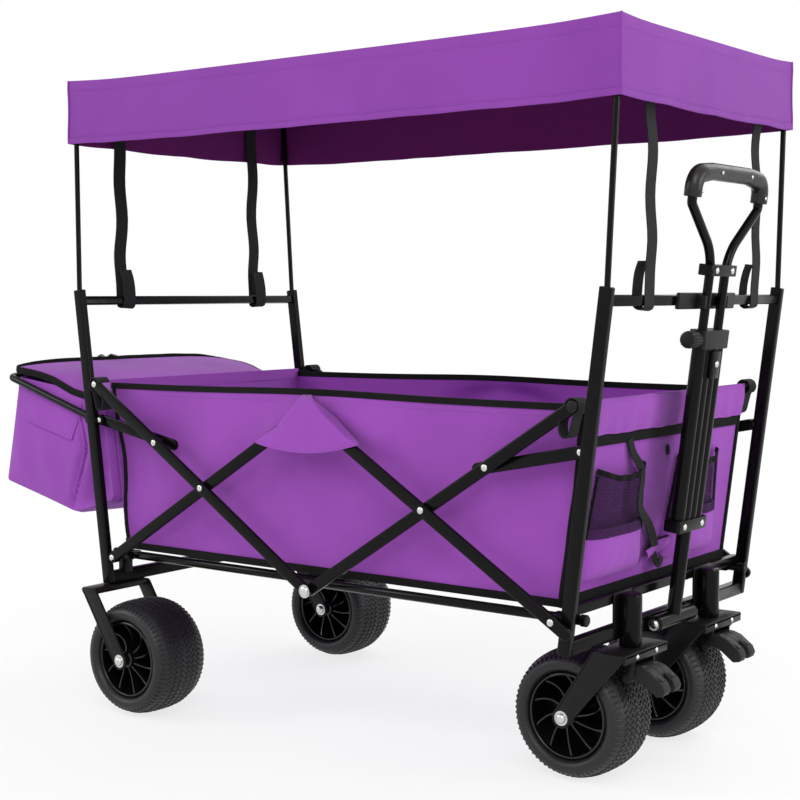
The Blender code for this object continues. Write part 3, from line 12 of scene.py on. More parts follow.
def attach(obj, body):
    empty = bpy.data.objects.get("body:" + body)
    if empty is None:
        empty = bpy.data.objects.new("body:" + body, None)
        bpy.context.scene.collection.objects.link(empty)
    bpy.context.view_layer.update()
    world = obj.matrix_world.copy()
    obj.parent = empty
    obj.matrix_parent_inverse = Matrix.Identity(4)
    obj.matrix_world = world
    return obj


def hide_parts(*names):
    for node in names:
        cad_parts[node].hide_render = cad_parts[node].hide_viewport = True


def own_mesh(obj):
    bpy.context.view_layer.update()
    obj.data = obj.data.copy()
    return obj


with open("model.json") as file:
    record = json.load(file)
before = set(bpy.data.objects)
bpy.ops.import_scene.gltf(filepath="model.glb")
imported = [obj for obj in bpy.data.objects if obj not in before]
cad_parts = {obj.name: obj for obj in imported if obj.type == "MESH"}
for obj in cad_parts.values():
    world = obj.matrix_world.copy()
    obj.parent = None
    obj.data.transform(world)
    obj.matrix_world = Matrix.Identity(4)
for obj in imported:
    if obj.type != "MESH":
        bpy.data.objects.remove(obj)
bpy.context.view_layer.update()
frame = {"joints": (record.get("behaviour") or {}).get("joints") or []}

joints = {joint["name"]: joint for joint in frame["joints"]}

# All shapes are drawn with x = 0 at the middle of the scissors, then moved by this much.
MIDDLE_X = joints["fold"]["pos_m"][0] - 0.4060

# End frames
FRAME_HALF_WIDTH = 0.2575
POST_HALF_WIDTH = 0.006
POST_FOOT = (0.4185, 0.196)
POST_TOP = (0.477, 0.662)
POST_SLOPE = (POST_TOP[0] - POST_FOOT[0]) / (POST_TOP[1] - POST_FOOT[1])
POST_LEAN = math.atan(POST_SLOPE)
RAIL_Z = 0.6448

# Scissors
OUTER_LAYER = (0.2638, 0.2718)
INNER_LAYER = (0.2552, 0.2632)
LINK_LAYER = (0.2452, 0.2512)
BRACKET_LAYER = (0.2518, 0.2558)
FOOT = Vector((0.4060, 0.2395))
TOP_PIVOT = Vector((0.0, 0.4922))
HUB = Vector((0.0, 0.2333))
UPPER_END = Vector((0.4313, 0.5133))
CROSSING = Vector((0.2036, 0.3655))
LINK_PIVOT = Vector((0.4387, 0.4559))
BAR_HALF = 0.0085
LINK_ALONG = 0.1152      # from the crossing to the link's lower end, along the B bar

# Wheels
WHEEL_RADIUS = 0.0889
WHEEL_WIDTH = 0.1016
CASTER_Y = 0.1175
STEM_X = 0.437
PEDAL_PIVOT = (0.452, 0.157)
REAR_WHEEL_Y = 0.243
FRONT_AXLE_X = 0.3655
REAR_AXLE_X = 0.351
LUGS_ROUND = 66
SPOKES = 10

# Handle, laid out along its own lean
HANDLE_FOOT = Vector((0.440, 0, 0.204))
HANDLE_LEAN = math.radians(7.3)
SLEEVE = (0.143, 0.3787)
COLLAR = (0.379, 0.404)
UPPER_CLAMP_AT = 0.4846

# Cloth
CANOPY_HALF_LENGTH = 0.4955
CANOPY_HALF_WIDTH = 0.2590
CANOPY_TOP_Z = 0.9920
CANOPY_BOTTOM_Z = 0.8925
SIDE_Y = 0.2286
TUB_BOTTOM_Z = 0.2505
TUB_TOP_Z = 0.5130
FRONT_INSET = 0.025
REAR_INSET = 0.020
TUB_HALF = 0.2290
CLOTH_WALL = 0.0013
PANEL_WALL = 0.0022
CLOTH_LIFT = 0.0010      # how far stitches lie outside the middle of their cloth

# Frame details
FLOOR_BAR_Z = 0.2400
FLOOR_BAR_Y = {1: 0.2375, -1: 0.2230}
LOWER_BEAM_Z = 0.2055
BEAM_HALF = 0.2512
CROWN_HALF = 0.0585
CHEEK = (0.0548, 0.0582)
RIVET_LIFT = 0.0001
BAG_PIVOT = (0.463, 0.4566)

SIDES = (("Near", -1), ("Far", 1))
ENDS = (("Front", 1), ("Rear", -1))


# Shapes: a shape is an array of points and a list of faces.

def together(*shapes):
    points = []
    faces = []
    for made_points, made_faces in shapes:
        start = sum(len(p) for p in points)
        points.append(np.asarray(made_points, float))
        faces.extend([tuple(i + start for i in face) for face in made_faces])
    return np.concatenate(points), faces


def moved(shape, place):
    points = np.asarray(shape[0], float)
    matrix = np.array(place)
    return points @ matrix[:3, :3].T + matrix[:3, 3], shape[1]


def loft(rows, closed=False, ring=False, caps=False):
    """Quads between rows of points. closed joins each row's ends, ring joins the last row to the first."""
    rows = [np.asarray(row, float) for row in rows]
    count = len(rows[0])
    faces = []
    for i in range(len(rows) if ring else len(rows) - 1):
        j = (i + 1) % len(rows)
        for k in range(count if closed else count - 1):
            after = (k + 1) % count
            faces.append((i * count + k, i * count + after, j * count + after, j * count + k))
    if caps:
        faces.append(tuple(range(count))[::-1])
        faces.append(tuple(range((len(rows) - 1) * count, len(rows) * count)))
    return np.concatenate(rows), faces


def circle(radius, sides):
    turns = np.arange(sides) * 2 * math.pi / sides
    return np.stack([radius * np.cos(turns), radius * np.sin(turns)], 1)


def rounded_box(half_a, half_b, radius, steps=4):
    """The outline of a rectangle with round corners."""
    points = []
    for corner in range(4):
        middle = ((half_a - radius) * (1, -1, -1, 1)[corner], (half_b - radius) * (1, 1, -1, -1)[corner])
        for step in range(steps + 1):
            turn = math.pi / 2 * (corner + step / steps)
            points.append((middle[0] + radius * math.cos(turn), middle[1] + radius * math.sin(turn)))
    return np.array(points)


def sweep(path, outline, up=(0, 0, 1), scale=None, closed=False):
    """An outline of (across, upward) points carried along a path."""
    path = [Vector(point) for point in path]
    up = Vector(up)
    rows = []
    last = len(path) - 1
    for index, point in enumerate(path):
        if closed:
            ahead = path[(index + 1) % len(path)] - path[index - 1]
        else:
            ahead = path[min(index + 1, last)] - path[max(index - 1, 0)]
        ahead.normalize()
        across = ahead.cross(up).normalized()
        upward = across.cross(ahead)
        size = 1.0 if scale is None else scale[index]
        rows.append([tuple(point + across * a * size + upward * b * size) for a, b in outline])
    return loft(rows, closed=True, ring=closed, caps=not closed)


def plate(outline, low, high, edge=0.0, segments=2, place=None):
    """A flat outline in X and Z, from y = low to y = high, its rim rounded by edge."""
    shape = bmesh.new()
    count = len(outline)
    front = [shape.verts.new((x, low, z)) for x, z in outline]
    back = [shape.verts.new((x, high, z)) for x, z in outline]
    shape.faces.new(front)
    shape.faces.new(back[::-1])
    for i in range(count):
        j = (i + 1) % count
        shape.faces.new((front[j], front[i], back[i], back[j]))
    bmesh.ops.recalc_face_normals(shape, faces=shape.faces)
    if edge:
        sharp = [e for e in shape.edges if e.calc_face_angle(0) > math.radians(32)]
        bmesh.ops.bevel(
            shape, geom=sharp, offset=edge, segments=segments, profile=0.5, affect="EDGES", clamp_overlap=True
        )
    shape.verts.index_update()
    points = np.array([tuple(v.co) for v in shape.verts])
    faces = [tuple(v.index for v in face.verts) for face in shape.faces]
    shape.free()
    made = (points, faces)
    return moved(made, place) if place is not None else made


def block(low, high, edge=0.001, place=None):
    outline = [(low[0], low[2]), (high[0], low[2]), (high[0], high[2]), (low[0], high[2])]
    return plate(outline, low[1], high[1], edge, 2, place)


def stadium(start, end, half, before=0.0, after=0.0, steps=10):
    """The outline of a flat bar with round ends."""
    start = Vector(start)
    end = Vector(end)
    along = (end - start).normalized()
    start = start - along * before
    end = end + along * after
    angle = math.atan2(along.y, along.x)
    outline = []
    for centre, first in ((end, angle - math.pi / 2), (start, angle + math.pi / 2)):
        for step in range(steps + 1):
            turn = first + math.pi * step / steps
            outline.append((centre.x + half * math.cos(turn), centre.y + half * math.sin(turn)))
    return outline


def lathe(profile, steps, ring=True):
    """A profile of (radius, height) points turned round the Y axis."""
    rows = []
    for step in range(steps):
        turn = 2 * math.pi * step / steps
        rows.append([(r * math.cos(turn), h, r * math.sin(turn)) for r, h in profile])
    return loft(rows, closed=ring, ring=True)


def smooth_path(points, steps=8):
    """A Catmull-Rom curve through the points."""
    points = [Vector(point) for point in points]
    ends = [2 * points[0] - points[1]] + points + [2 * points[-1] - points[-2]]
    path = []
    for a, b, c, d in zip(ends, ends[1:], ends[2:], ends[3:]):
        for step in range(steps):
            t = step / steps
            path.append(
                0.5 * (2 * b + (c - a) * t + (2 * a - 5 * b + 4 * c - d) * t * t + (3 * b - a - 3 * c + d) * t ** 3)
            )
    return path + [points[-1]]


def layer(side, low, high):
    return (low, high) if side > 0 else (-high, -low)


def post_x(z):
    return POST_FOOT[0] + (z - POST_FOOT[1]) * POST_SLOPE


def ripple(x, y, z, size, seed=0.0):
    """A smooth unevenness from -1 to 1, the same each run."""
    return noise.noise(Vector((x / size + seed, y / size - seed, z / size + 2 * seed)))


# Node groups for effects that several finishes share

def new_group(name, inputs, outputs):
    group = bpy.data.node_groups.new(name, "ShaderNodeTree")
    for kind, label, value in inputs:
        socket = group.interface.new_socket(label, in_out="INPUT", socket_type=kind)
        if value is not None:
            socket.default_value = value
    for kind, label in outputs:
        group.interface.new_socket(label, in_out="OUTPUT", socket_type=kind)
    return group, group.nodes.new("NodeGroupInput"), group.nodes.new("NodeGroupOutput")


def feed(tree, socket, value):
    """Sets a socket to a number, or links it to another socket."""
    if isinstance(value, bpy.types.NodeSocket):
        tree.links.new(value, socket)
    else:
        socket.default_value = value


def node_with(tree, kind, **inputs):
    """A node with its inputs fed by name, where _ stands for a space."""
    node = tree.nodes.new(kind)
    for label, value in inputs.items():
        feed(tree, node.inputs[label.replace("_", " ")], value)
    return node


def sum_of(tree, operation, a, b=None):
    node = tree.nodes.new("ShaderNodeMath")
    node.operation = operation
    feed(tree, node.inputs[0], a)
    if b is not None:
        feed(tree, node.inputs[1], b)
    return node.outputs[0]


def noise_of(tree, vector, scale, detail=2.0, roughness=0.5):
    node = node_with(tree, "ShaderNodeTexNoise", Vector=vector, Scale=scale, Detail=detail, Roughness=roughness)
    return node.outputs["Fac"]


def spread(tree, value, low, high, to_low, to_high):
    node = node_with(
        tree, "ShaderNodeMapRange", Value=value, From_Min=low, From_Max=high, To_Min=to_low, To_Max=to_high
    )
    return node.outputs["Result"]


def make_weave_group():
    """Crossed threads over a surface laid out in metres, with slubs and a soft change of tone."""
    group, given, out = new_group(
        "Weave",
        [
            ("NodeSocketVector", "Layout", None),
            ("NodeSocketVector", "Place", None),
            ("NodeSocketFloat", "Threads per metre", 1500.0),
            ("NodeSocketFloat", "Unevenness", 0.3),
        ],
        [("NodeSocketFloat", "Height"), ("NodeSocketFloat", "Tone"), ("NodeSocketFloat", "Sheen mask")],
    )
    parts = group.nodes.new("ShaderNodeSeparateXYZ")
    group.links.new(given.outputs["Layout"], parts.inputs[0])
    around = sum_of(group, "MULTIPLY", given.outputs["Threads per metre"], 3.14159265)
    waves = []
    for axis in (0, 1):
        turn = sum_of(group, "MULTIPLY", parts.outputs[axis], around)
        waves.append(sum_of(group, "SINE", turn))
    crossed = sum_of(group, "MULTIPLY", waves[0], waves[1])
    slubs = noise_of(group, given.outputs["Layout"], 420.0, 1.0)
    uneven = sum_of(group, "MULTIPLY", slubs, given.outputs["Unevenness"])
    height = sum_of(group, "ADD", sum_of(group, "ABSOLUTE", crossed), uneven)
    group.links.new(height, out.inputs["Height"])
    broad = noise_of(group, given.outputs["Place"], 5.0, 3.0)
    fine = noise_of(group, given.outputs["Layout"], 900.0, 1.0)
    tone = sum_of(group, "ADD", sum_of(group, "MULTIPLY", broad, 0.7), sum_of(group, "MULTIPLY", fine, 0.3))
    group.links.new(tone, out.inputs["Tone"])
    group.links.new(spread(group, broad, 0.35, 0.65, 0.78, 0.92), out.inputs["Sheen mask"])
    return group


def make_coat_group():
    """Powder coat or moulding: fine grain, faint scuffs and a little dust on upper faces."""
    group, given, out = new_group(
        "Coat",
        [
            ("NodeSocketVector", "Place", None),
            ("NodeSocketFloat", "Grain per metre", 900.0),
            ("NodeSocketFloat", "Roughness", 0.35),
            ("NodeSocketFloat", "Scuffs", 0.3),
            ("NodeSocketFloat", "Dust", 0.2),
        ],
        [("NodeSocketFloat", "Height"), ("NodeSocketFloat", "Roughness"), ("NodeSocketFloat", "Pale")],
    )
    grain = noise_of(group, given.outputs["Place"], given.outputs["Grain per metre"], 2.0, 0.6)
    group.links.new(grain, out.inputs["Height"])
    patches = noise_of(group, given.outputs["Place"], 38.0, 4.0, 0.65)
    scuff = sum_of(group, "MULTIPLY", spread(group, patches, 0.54, 0.72, 0.0, 1.0), given.outputs["Scuffs"])
    rough = sum_of(group, "ADD", given.outputs["Roughness"], sum_of(group, "MULTIPLY", scuff, 0.35))
    group.links.new(rough, out.inputs["Roughness"])
    geometry = group.nodes.new("ShaderNodeNewGeometry")
    facing = group.nodes.new("ShaderNodeSeparateXYZ")
    group.links.new(geometry.outputs["Normal"], facing.inputs[0])
    upward = spread(group, facing.outputs[2], 0.5, 1.0, 0.0, 1.0)
    speckle = spread(group, noise_of(group, given.outputs["Place"], 160.0, 3.0, 0.7), 0.45, 0.75, 0.0, 1.0)
    dust = sum_of(group, "MULTIPLY", sum_of(group, "MULTIPLY", upward, speckle), given.outputs["Dust"])
    pale = sum_of(group, "ADD", dust, sum_of(group, "MULTIPLY", scuff, 0.12))
    group.links.new(pale, out.inputs["Pale"])
    return group


WEAVE = make_weave_group()
COAT = make_coat_group()


def new_look(name):
    look = bpy.data.materials.new(name)
    look.use_nodes = True
    tree = look.node_tree
    shader = tree.nodes["Principled BSDF"]
    places = tree.nodes.new("ShaderNodeTexCoord")
    return look, tree, shader, places


def add_bump(tree, shader, height, strength, distance):
    bump = node_with(tree, "ShaderNodeBump", Strength=strength, Distance=distance, Height=height)
    tree.links.new(bump.outputs["Normal"], shader.inputs["Normal"])


def ramp_between(tree, value, dark, light):
    ramp = tree.nodes.new("ShaderNodeValToRGB")
    ramp.color_ramp.elements[0].color = (*dark, 1)
    ramp.color_ramp.elements[1].color = (*light, 1)
    ramp.color_ramp.elements[0].position = 0.3
    ramp.color_ramp.elements[1].position = 0.7
    tree.links.new(value, ramp.inputs[0])
    return ramp.outputs[0]


def cloth_look(name, dark, light, threads, bump, sheen, gloss=0.3, holes=False):
    look, tree, shader, places = new_look(name)
    weave = tree.nodes.new("ShaderNodeGroup")
    weave.node_tree = WEAVE
    tree.links.new(places.outputs["UV"], weave.inputs["Layout"])
    tree.links.new(places.outputs["Object"], weave.inputs["Place"])
    weave.inputs["Threads per metre"].default_value = threads
    tree.links.new(ramp_between(tree, weave.outputs["Tone"], dark, light), shader.inputs["Base Color"])
    tree.links.new(weave.outputs["Sheen mask"], shader.inputs["Roughness"])
    shader.inputs["Sheen Weight"].default_value = sheen
    shader.inputs["Sheen Roughness"].default_value = 0.4
    shader.inputs["Specular IOR Level"].default_value = gloss
    add_bump(tree, shader, weave.outputs["Height"], bump, 0.0004)
    if holes:
        tree.links.new(spread(tree, weave.outputs["Height"], 0.30, 0.55, 0.66, 0.22), shader.inputs["Alpha"])
    return look


def coat_look(name, colour, pale, roughness, grain, bump, gloss, scuffs=0.15, dust=0.05, metallic=0.0):
    look, tree, shader, places = new_look(name)
    finish = tree.nodes.new("ShaderNodeGroup")
    finish.node_tree = COAT
    tree.links.new(places.outputs["Object"], finish.inputs["Place"])
    finish.inputs["Grain per metre"].default_value = grain
    finish.inputs["Roughness"].default_value = roughness
    finish.inputs["Scuffs"].default_value = scuffs
    finish.inputs["Dust"].default_value = dust
    mix = tree.nodes.new("ShaderNodeMix")
    mix.data_type = "RGBA"
    mix.inputs["A"].default_value = (*colour, 1)
    mix.inputs["B"].default_value = (*pale, 1)
    tree.links.new(finish.outputs["Pale"], mix.inputs["Factor"])
    tree.links.new(mix.outputs["Result"], shader.inputs["Base Color"])
    tree.links.new(finish.outputs["Roughness"], shader.inputs["Roughness"])
    shader.inputs["Metallic"].default_value = metallic
    shader.inputs["Specular IOR Level"].default_value = gloss
    add_bump(tree, shader, finish.outputs["Height"], bump, 0.0003)
    return look


PURPLE = cloth_look("PurpleOxfordCloth", (0.245, 0.051, 0.352), (0.320, 0.076, 0.445), 1300, 0.35, 0.12, 0.22)
# The canopy's cloth is the tub's purple painted darker: painted shade.
CANOPY_PAINTED_SHADE = cloth_look("PurpleCanopyPaintedShade", (0.196, 0.038, 0.288), (0.256, 0.058, 0.366), 1300, 0.35, 0.10, 0.20)
# The tub side's inner face is the tub's purple painted lighter: painted light inside the tub.
INSIDE_PAINTED_LIGHT = cloth_look("PurpleInsidePaintedLight", (0.30, 0.062, 0.43), (0.37, 0.085, 0.52), 1300, 0.3, 0.05, 0.15)
# The canopy's underside is the purple painted dark plum: painted shade under the canopy.
UNDERSIDE_PAINTED_SHADE = cloth_look("PlumUndersidePaintedShade", (0.105, 0.008, 0.098), (0.140, 0.013, 0.130), 1300, 0.25, 0.03, 0.15)
BINDING = cloth_look("BlackBindingTape", (0.005, 0.005, 0.005), (0.011, 0.011, 0.010), 2200, 0.5, 0.02, 0.10)
WEBBING = cloth_look("BlackWebbing", (0.008, 0.008, 0.009), (0.017, 0.017, 0.019), 700, 0.8, 0.05, 0.18)
NET = cloth_look("PocketNet", (0.005, 0.004, 0.006), (0.012, 0.010, 0.014), 520, 0.4, 0.03, 0.12, holes=True)
THREAD = cloth_look("PurpleThread", (0.25, 0.06, 0.37), (0.34, 0.11, 0.48), 2500, 0.4, 0.15, 0.2)
STEEL = coat_look("BlackPowderCoat", (0.0030, 0.0027, 0.0027), (0.055, 0.051, 0.048), 0.20, 800, 0.10, 0.12, 0.12, 0.02)
FORK_STEEL = coat_look(
    "SatinForkSteel", (0.0058, 0.0050, 0.0048), (0.070, 0.062, 0.056), 0.36, 1100, 0.2, 0.20, 0.25, 0.05
)
PLASTIC = coat_look(
    "BlackMouldedPlastic", (0.0055, 0.0055, 0.0060), (0.070, 0.066, 0.066), 0.42, 1400, 0.3, 0.20, 0.2, 0.04
)
PEDAL_PLASTIC = coat_look(
    "GreyBrakePlastic", (0.010, 0.010, 0.011), (0.09, 0.085, 0.085), 0.55, 1400, 0.4, 0.25, 0.3, 0.10
)
RIM_PLASTIC = coat_look(
    "GlossRimPlastic", (0.0035, 0.0035, 0.0040), (0.05, 0.05, 0.05), 0.20, 1200, 0.08, 0.42, 0.15, 0.03
)
RUBBER = coat_look("TyreRubber", (0.0075, 0.0075, 0.0090), (0.060, 0.057, 0.055), 0.44, 1500, 0.45, 0.40, 0.3, 0.06)
GRIP = coat_look("GripPlastic", (0.0085, 0.0080, 0.0078), (0.07, 0.066, 0.064), 0.34, 1300, 0.30, 0.36, 0.25, 0.04)
ZINC = coat_look("ZincPlate", (0.62, 0.62, 0.60), (0.36, 0.35, 0.33), 0.26, 900, 0.1, 0.5, 0.5, 0.0, metallic=1.0)


# The CAD material that pieces of each look stand for
SLOTS = {look: "purple_cloth" for look in (PURPLE, CANOPY_PAINTED_SHADE)}
SLOTS.update({look: "black_webbing" for look in (BINDING, WEBBING, NET)})
SLOTS.update({look: "black_plastic" for look in (PLASTIC, PEDAL_PLASTIC, RIM_PLASTIC, GRIP, FORK_STEEL)})
SLOTS.update({STEEL: "black_steel", RUBBER: "black_rubber"})


# Pieces

def box_layout(mesh):
    """UVs in metres, laid flat on each face from the side that it faces most."""
    layer_uv = mesh.uv_layers.new(name="Layout")
    for face in mesh.polygons:
        n = face.normal
        axis = max(range(3), key=lambda i: abs(n[i]))
        a, b = ((1, 2), (0, 2), (0, 1))[axis]
        for loop in face.loop_indices:
            co = mesh.vertices[mesh.loops[loop].vertex_index].co
            layer_uv.data[loop].uv = (co[a], co[b])


def make(name, shape, look, body, replaces=(), angle=35.0, wall=0.0, offset=0.0, inner=None):
    """A finished piece from a shape drawn about the middle of the scissors."""
    points, faces = shape
    mesh = bpy.data.meshes.new(name)
    mesh.from_pydata([tuple(p) for p in np.asarray(points, float) + (MIDDLE_X, 0, 0)], [], faces)
    clean = bmesh.new()
    clean.from_mesh(mesh)
    bmesh.ops.remove_doubles(clean, verts=clean.verts, dist=2e-6)
    bmesh.ops.recalc_face_normals(clean, faces=clean.faces)
    clean.to_mesh(mesh)
    clean.free()
    mesh.materials.append(look)
    obj = bpy.data.objects.new(name, mesh)
    bpy.context.scene.collection.objects.link(obj)
    if wall:
        thick = obj.modifiers.new("Thickness", "SOLIDIFY")
        thick.thickness = wall
        thick.offset = offset
        if inner:
            mesh.materials.append(inner)
            thick.material_offset = 1
        graph = bpy.context.evaluated_depsgraph_get()
        finished = bpy.data.meshes.new_from_object(obj.evaluated_get(graph))
        obj.modifiers.clear()
        obj.data = finished
        mesh = finished
    mesh.shade_smooth()
    mesh.set_sharp_from_angle(angle=math.radians(angle))
    box_layout(mesh)
    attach(obj, body)
    if replaces:
        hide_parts(*replaces)
    return obj


# Geometry Nodes trees for what repeats

def new_tree(name, inputs):
    tree = bpy.data.node_groups.new(name, "GeometryNodeTree")
    tree.interface.new_socket("Geometry", in_out="INPUT", socket_type="NodeSocketGeometry")
    for kind, label, value in inputs:
        socket = tree.interface.new_socket(label, in_out="INPUT", socket_type=kind)
        if value is not None:
            socket.default_value = value
    tree.interface.new_socket("Geometry", in_out="OUTPUT", socket_type="NodeSocketGeometry")
    return tree, tree.nodes.new("NodeGroupInput"), tree.nodes.new("NodeGroupOutput")


def end_tree(tree, given, out, instances):
    realize = tree.nodes.new("GeometryNodeRealizeInstances")
    finish = tree.nodes.new("GeometryNodeSetMaterial")
    tree.links.new(instances, realize.inputs[0])
    tree.links.new(realize.outputs[0], finish.inputs["Geometry"])
    tree.links.new(given.outputs["Material"], finish.inputs["Material"])
    tree.links.new(finish.outputs[0], out.inputs[0])


def make_round_tree():
    """Copies of a segment turned evenly round the Y axis."""
    tree, given, out = new_tree(
        "RoundTheAxle", [("NodeSocketInt", "Count", 12), ("NodeSocketMaterial", "Material", None)]
    )
    line = tree.nodes.new("GeometryNodeMeshLine")
    line.inputs["Offset"].default_value = (0, 0, 0)
    tree.links.new(given.outputs["Count"], line.inputs["Count"])
    index = tree.nodes.new("GeometryNodeInputIndex")
    step = sum_of(tree, "DIVIDE", index.outputs[0], given.outputs["Count"])
    turn = sum_of(tree, "MULTIPLY", step, 2 * math.pi)
    rotation = tree.nodes.new("FunctionNodeAxisAngleToRotation")
    rotation.inputs["Axis"].default_value = (0, 1, 0)
    tree.links.new(turn, rotation.inputs["Angle"])
    copies = tree.nodes.new("GeometryNodeInstanceOnPoints")
    tree.links.new(line.outputs[0], copies.inputs["Points"])
    tree.links.new(given.outputs["Geometry"], copies.inputs["Instance"])
    tree.links.new(rotation.outputs[0], copies.inputs["Rotation"])
    end_tree(tree, given, out, copies.outputs[0])
    return tree


def make_rivet_tree():
    """A domed head on each point, facing along the point's way."""
    tree, given, out = new_tree(
        "RivetHeads",
        [
            ("NodeSocketFloat", "Radius", 0.005),
            ("NodeSocketFloat", "Height", 0.0025),
            ("NodeSocketMaterial", "Material", None),
        ],
    )
    ball = tree.nodes.new("GeometryNodeMeshUVSphere")
    ball.inputs["Segments"].default_value = 18
    ball.inputs["Rings"].default_value = 10
    ball.inputs["Radius"].default_value = 1.0
    size = tree.nodes.new("ShaderNodeCombineXYZ")
    tree.links.new(given.outputs["Radius"], size.inputs[0])
    tree.links.new(given.outputs["Radius"], size.inputs[1])
    tree.links.new(given.outputs["Height"], size.inputs[2])
    shape = tree.nodes.new("GeometryNodeTransform")
    tree.links.new(ball.outputs[0], shape.inputs["Geometry"])
    tree.links.new(size.outputs[0], shape.inputs["Scale"])
    way = tree.nodes.new("GeometryNodeInputNamedAttribute")
    way.data_type = "FLOAT_VECTOR"
    way.inputs["Name"].default_value = "way"
    face = tree.nodes.new("FunctionNodeAlignRotationToVector")
    face.axis = "Z"
    tree.links.new(way.outputs[0], face.inputs["Vector"])
    copies = tree.nodes.new("GeometryNodeInstanceOnPoints")
    tree.links.new(given.outputs["Geometry"], copies.inputs["Points"])
    tree.links.new(shape.outputs[0], copies.inputs["Instance"])
    tree.links.new(face.outputs[0], copies.inputs["Rotation"])
    end_tree(tree, given, out, copies.outputs[0])
    return tree


def make_stitch_tree():
    """Short rounded bars laid end to end along edges, as stitches or zip teeth."""
    tree, given, out = new_tree(
        "AlongTheSeam",
        [
            ("NodeSocketFloat", "Pitch", 0.005),
            ("NodeSocketFloat", "Length", 0.0035),
            ("NodeSocketFloat", "Width", 0.0008),
            ("NodeSocketFloat", "Depth", 0.0005),
            ("NodeSocketMaterial", "Material", None),
        ],
    )
    curve = tree.nodes.new("GeometryNodeMeshToCurve")
    tree.links.new(given.outputs["Geometry"], curve.inputs[0])
    even = tree.nodes.new("GeometryNodeResampleCurve")
    even.mode = "LENGTH"
    tree.links.new(curve.outputs[0], even.inputs["Curve"])
    tree.links.new(given.outputs["Pitch"], even.inputs["Length"])
    bar = tree.nodes.new("GeometryNodeMeshIcoSphere")
    bar.inputs["Radius"].default_value = 0.5
    bar.inputs["Subdivisions"].default_value = 1
    size = tree.nodes.new("ShaderNodeCombineXYZ")
    tree.links.new(given.outputs["Width"], size.inputs[0])
    tree.links.new(given.outputs["Depth"], size.inputs[1])
    tree.links.new(given.outputs["Length"], size.inputs[2])
    shape = tree.nodes.new("GeometryNodeTransform")
    tree.links.new(bar.outputs[0], shape.inputs["Geometry"])
    tree.links.new(size.outputs[0], shape.inputs["Scale"])
    tangent = tree.nodes.new("GeometryNodeInputTangent")
    face = tree.nodes.new("FunctionNodeAlignRotationToVector")
    face.axis = "Z"
    tree.links.new(tangent.outputs[0], face.inputs["Vector"])
    copies = tree.nodes.new("GeometryNodeInstanceOnPoints")
    tree.links.new(even.outputs[0], copies.inputs["Points"])
    tree.links.new(shape.outputs[0], copies.inputs["Instance"])
    tree.links.new(face.outputs[0], copies.inputs["Rotation"])
    end_tree(tree, given, out, copies.outputs[0])
    return tree


ROUND = make_round_tree()
RIVETS = make_rivet_tree()
SEAM = make_stitch_tree()


def grown(tree, mesh, values):
    """The shape that a tree makes from a mesh."""
    source = bpy.data.objects.new("Seed", mesh)
    bpy.context.scene.collection.objects.link(source)
    nodes = source.modifiers.new("Grow", "NODES")
    nodes.node_group = tree
    sockets = {s.name: s.identifier for s in tree.interface.items_tree if s.in_out == "INPUT"}
    for label, value in values.items():
        nodes[sockets[label]] = value
    graph = bpy.context.evaluated_depsgraph_get()
    result = bpy.data.meshes.new_from_object(source.evaluated_get(graph))
    points = np.empty(len(result.vertices) * 3)
    result.vertices.foreach_get("co", points)
    faces = [tuple(face.vertices) for face in result.polygons]
    source.modifiers.clear()
    bpy.data.objects.remove(source, do_unlink=True)
    bpy.data.meshes.remove(result)
    return points.reshape(-1, 3), faces


def mesh_of(shape, edges=()):
    mesh = bpy.data.meshes.new("Seed")
    mesh.from_pydata([tuple(p) for p in shape[0]], edges, shape[1])
    return mesh


def round_the_axle(segment, count, look):
    return grown(ROUND, mesh_of(segment), {"Count": count, "Material": look})


def rivets(name, heads, body, radius=0.0050, height=0.0026, look=None):
    """heads are pairs of a place and the way that the head faces."""
    mesh = bpy.data.meshes.new("Seed")
    mesh.from_pydata([tuple(place) for place, _ in heads], [], [])
    ways = mesh.attributes.new("way", "FLOAT_VECTOR", "POINT")
    for index, (_, way) in enumerate(heads):
        ways.data[index].vector = Vector(way)
    look = look or ZINC
    shape = grown(RIVETS, mesh, {"Radius": radius, "Height": height, "Material": look})
    return make(name, shape, look, body, angle=80)


def stitches(name, paths, body, pitch=0.0052, length=0.0036, width=0.0007, depth=0.0005, look=None):
    mesh = bpy.data.meshes.new("Seed")
    points = []
    edges = []
    for path in paths:
        start = len(points)
        points.extend(tuple(point) for point in path)
        edges.extend((start + i, start + i + 1) for i in range(len(path) - 1))
    mesh.from_pydata(points, edges, [])
    look = look or THREAD
    values = {"Pitch": pitch, "Length": length, "Width": width, "Depth": depth, "Material": look}
    return make(name, grown(SEAM, mesh, values), look, body, angle=80)


def bent(points, radii, steps=8):
    """A path in space with each corner rounded."""
    points = [Vector(point) for point in points]
    path = [points[0]]
    for before, corner, after, radius in zip(points, points[1:], points[2:], radii):
        into = (before - corner).normalized()
        out = (after - corner).normalized()
        half = into.angle(out) / 2
        centre = corner + (into + out).normalized() * (radius / math.sin(half))
        first = (corner + into * (radius / math.tan(half)) - centre).normalized()
        last = (corner + out * (radius / math.tan(half)) - centre).normalized()
        path.extend(centre + first.slerp(last, step / steps) * radius for step in range(steps + 1))
    return path + [points[-1]]


def post_turn(profile, steps, centre):
    """A turned shape that stands upright on the centre."""
    return moved(lathe(profile, steps, ring=False), Matrix.Translation(centre) @ Matrix.Rotation(math.pi / 2, 4, "X"))


def dome_bolt(centre, side, radius, height, washer=0.0):
    """A bolt's round head on a face, with a washer where its radius is given."""
    profile = [(0.0, height)]
    for step in range(1, 7):
        turn = math.pi / 2 * step / 6
        profile.append((radius * math.sin(turn), height * (0.25 + 0.75 * math.cos(turn))))
    profile.append((radius, 0.0006))
    if washer:
        profile += [(washer, 0.0006), (washer, -0.0004)]
    profile.append((0.0, -0.0004))
    shape = lathe(profile, 24, ring=False)
    points = shape[0] * (1, side, 1)
    return moved((points, shape[1]), Matrix.Translation(centre))


# End frames

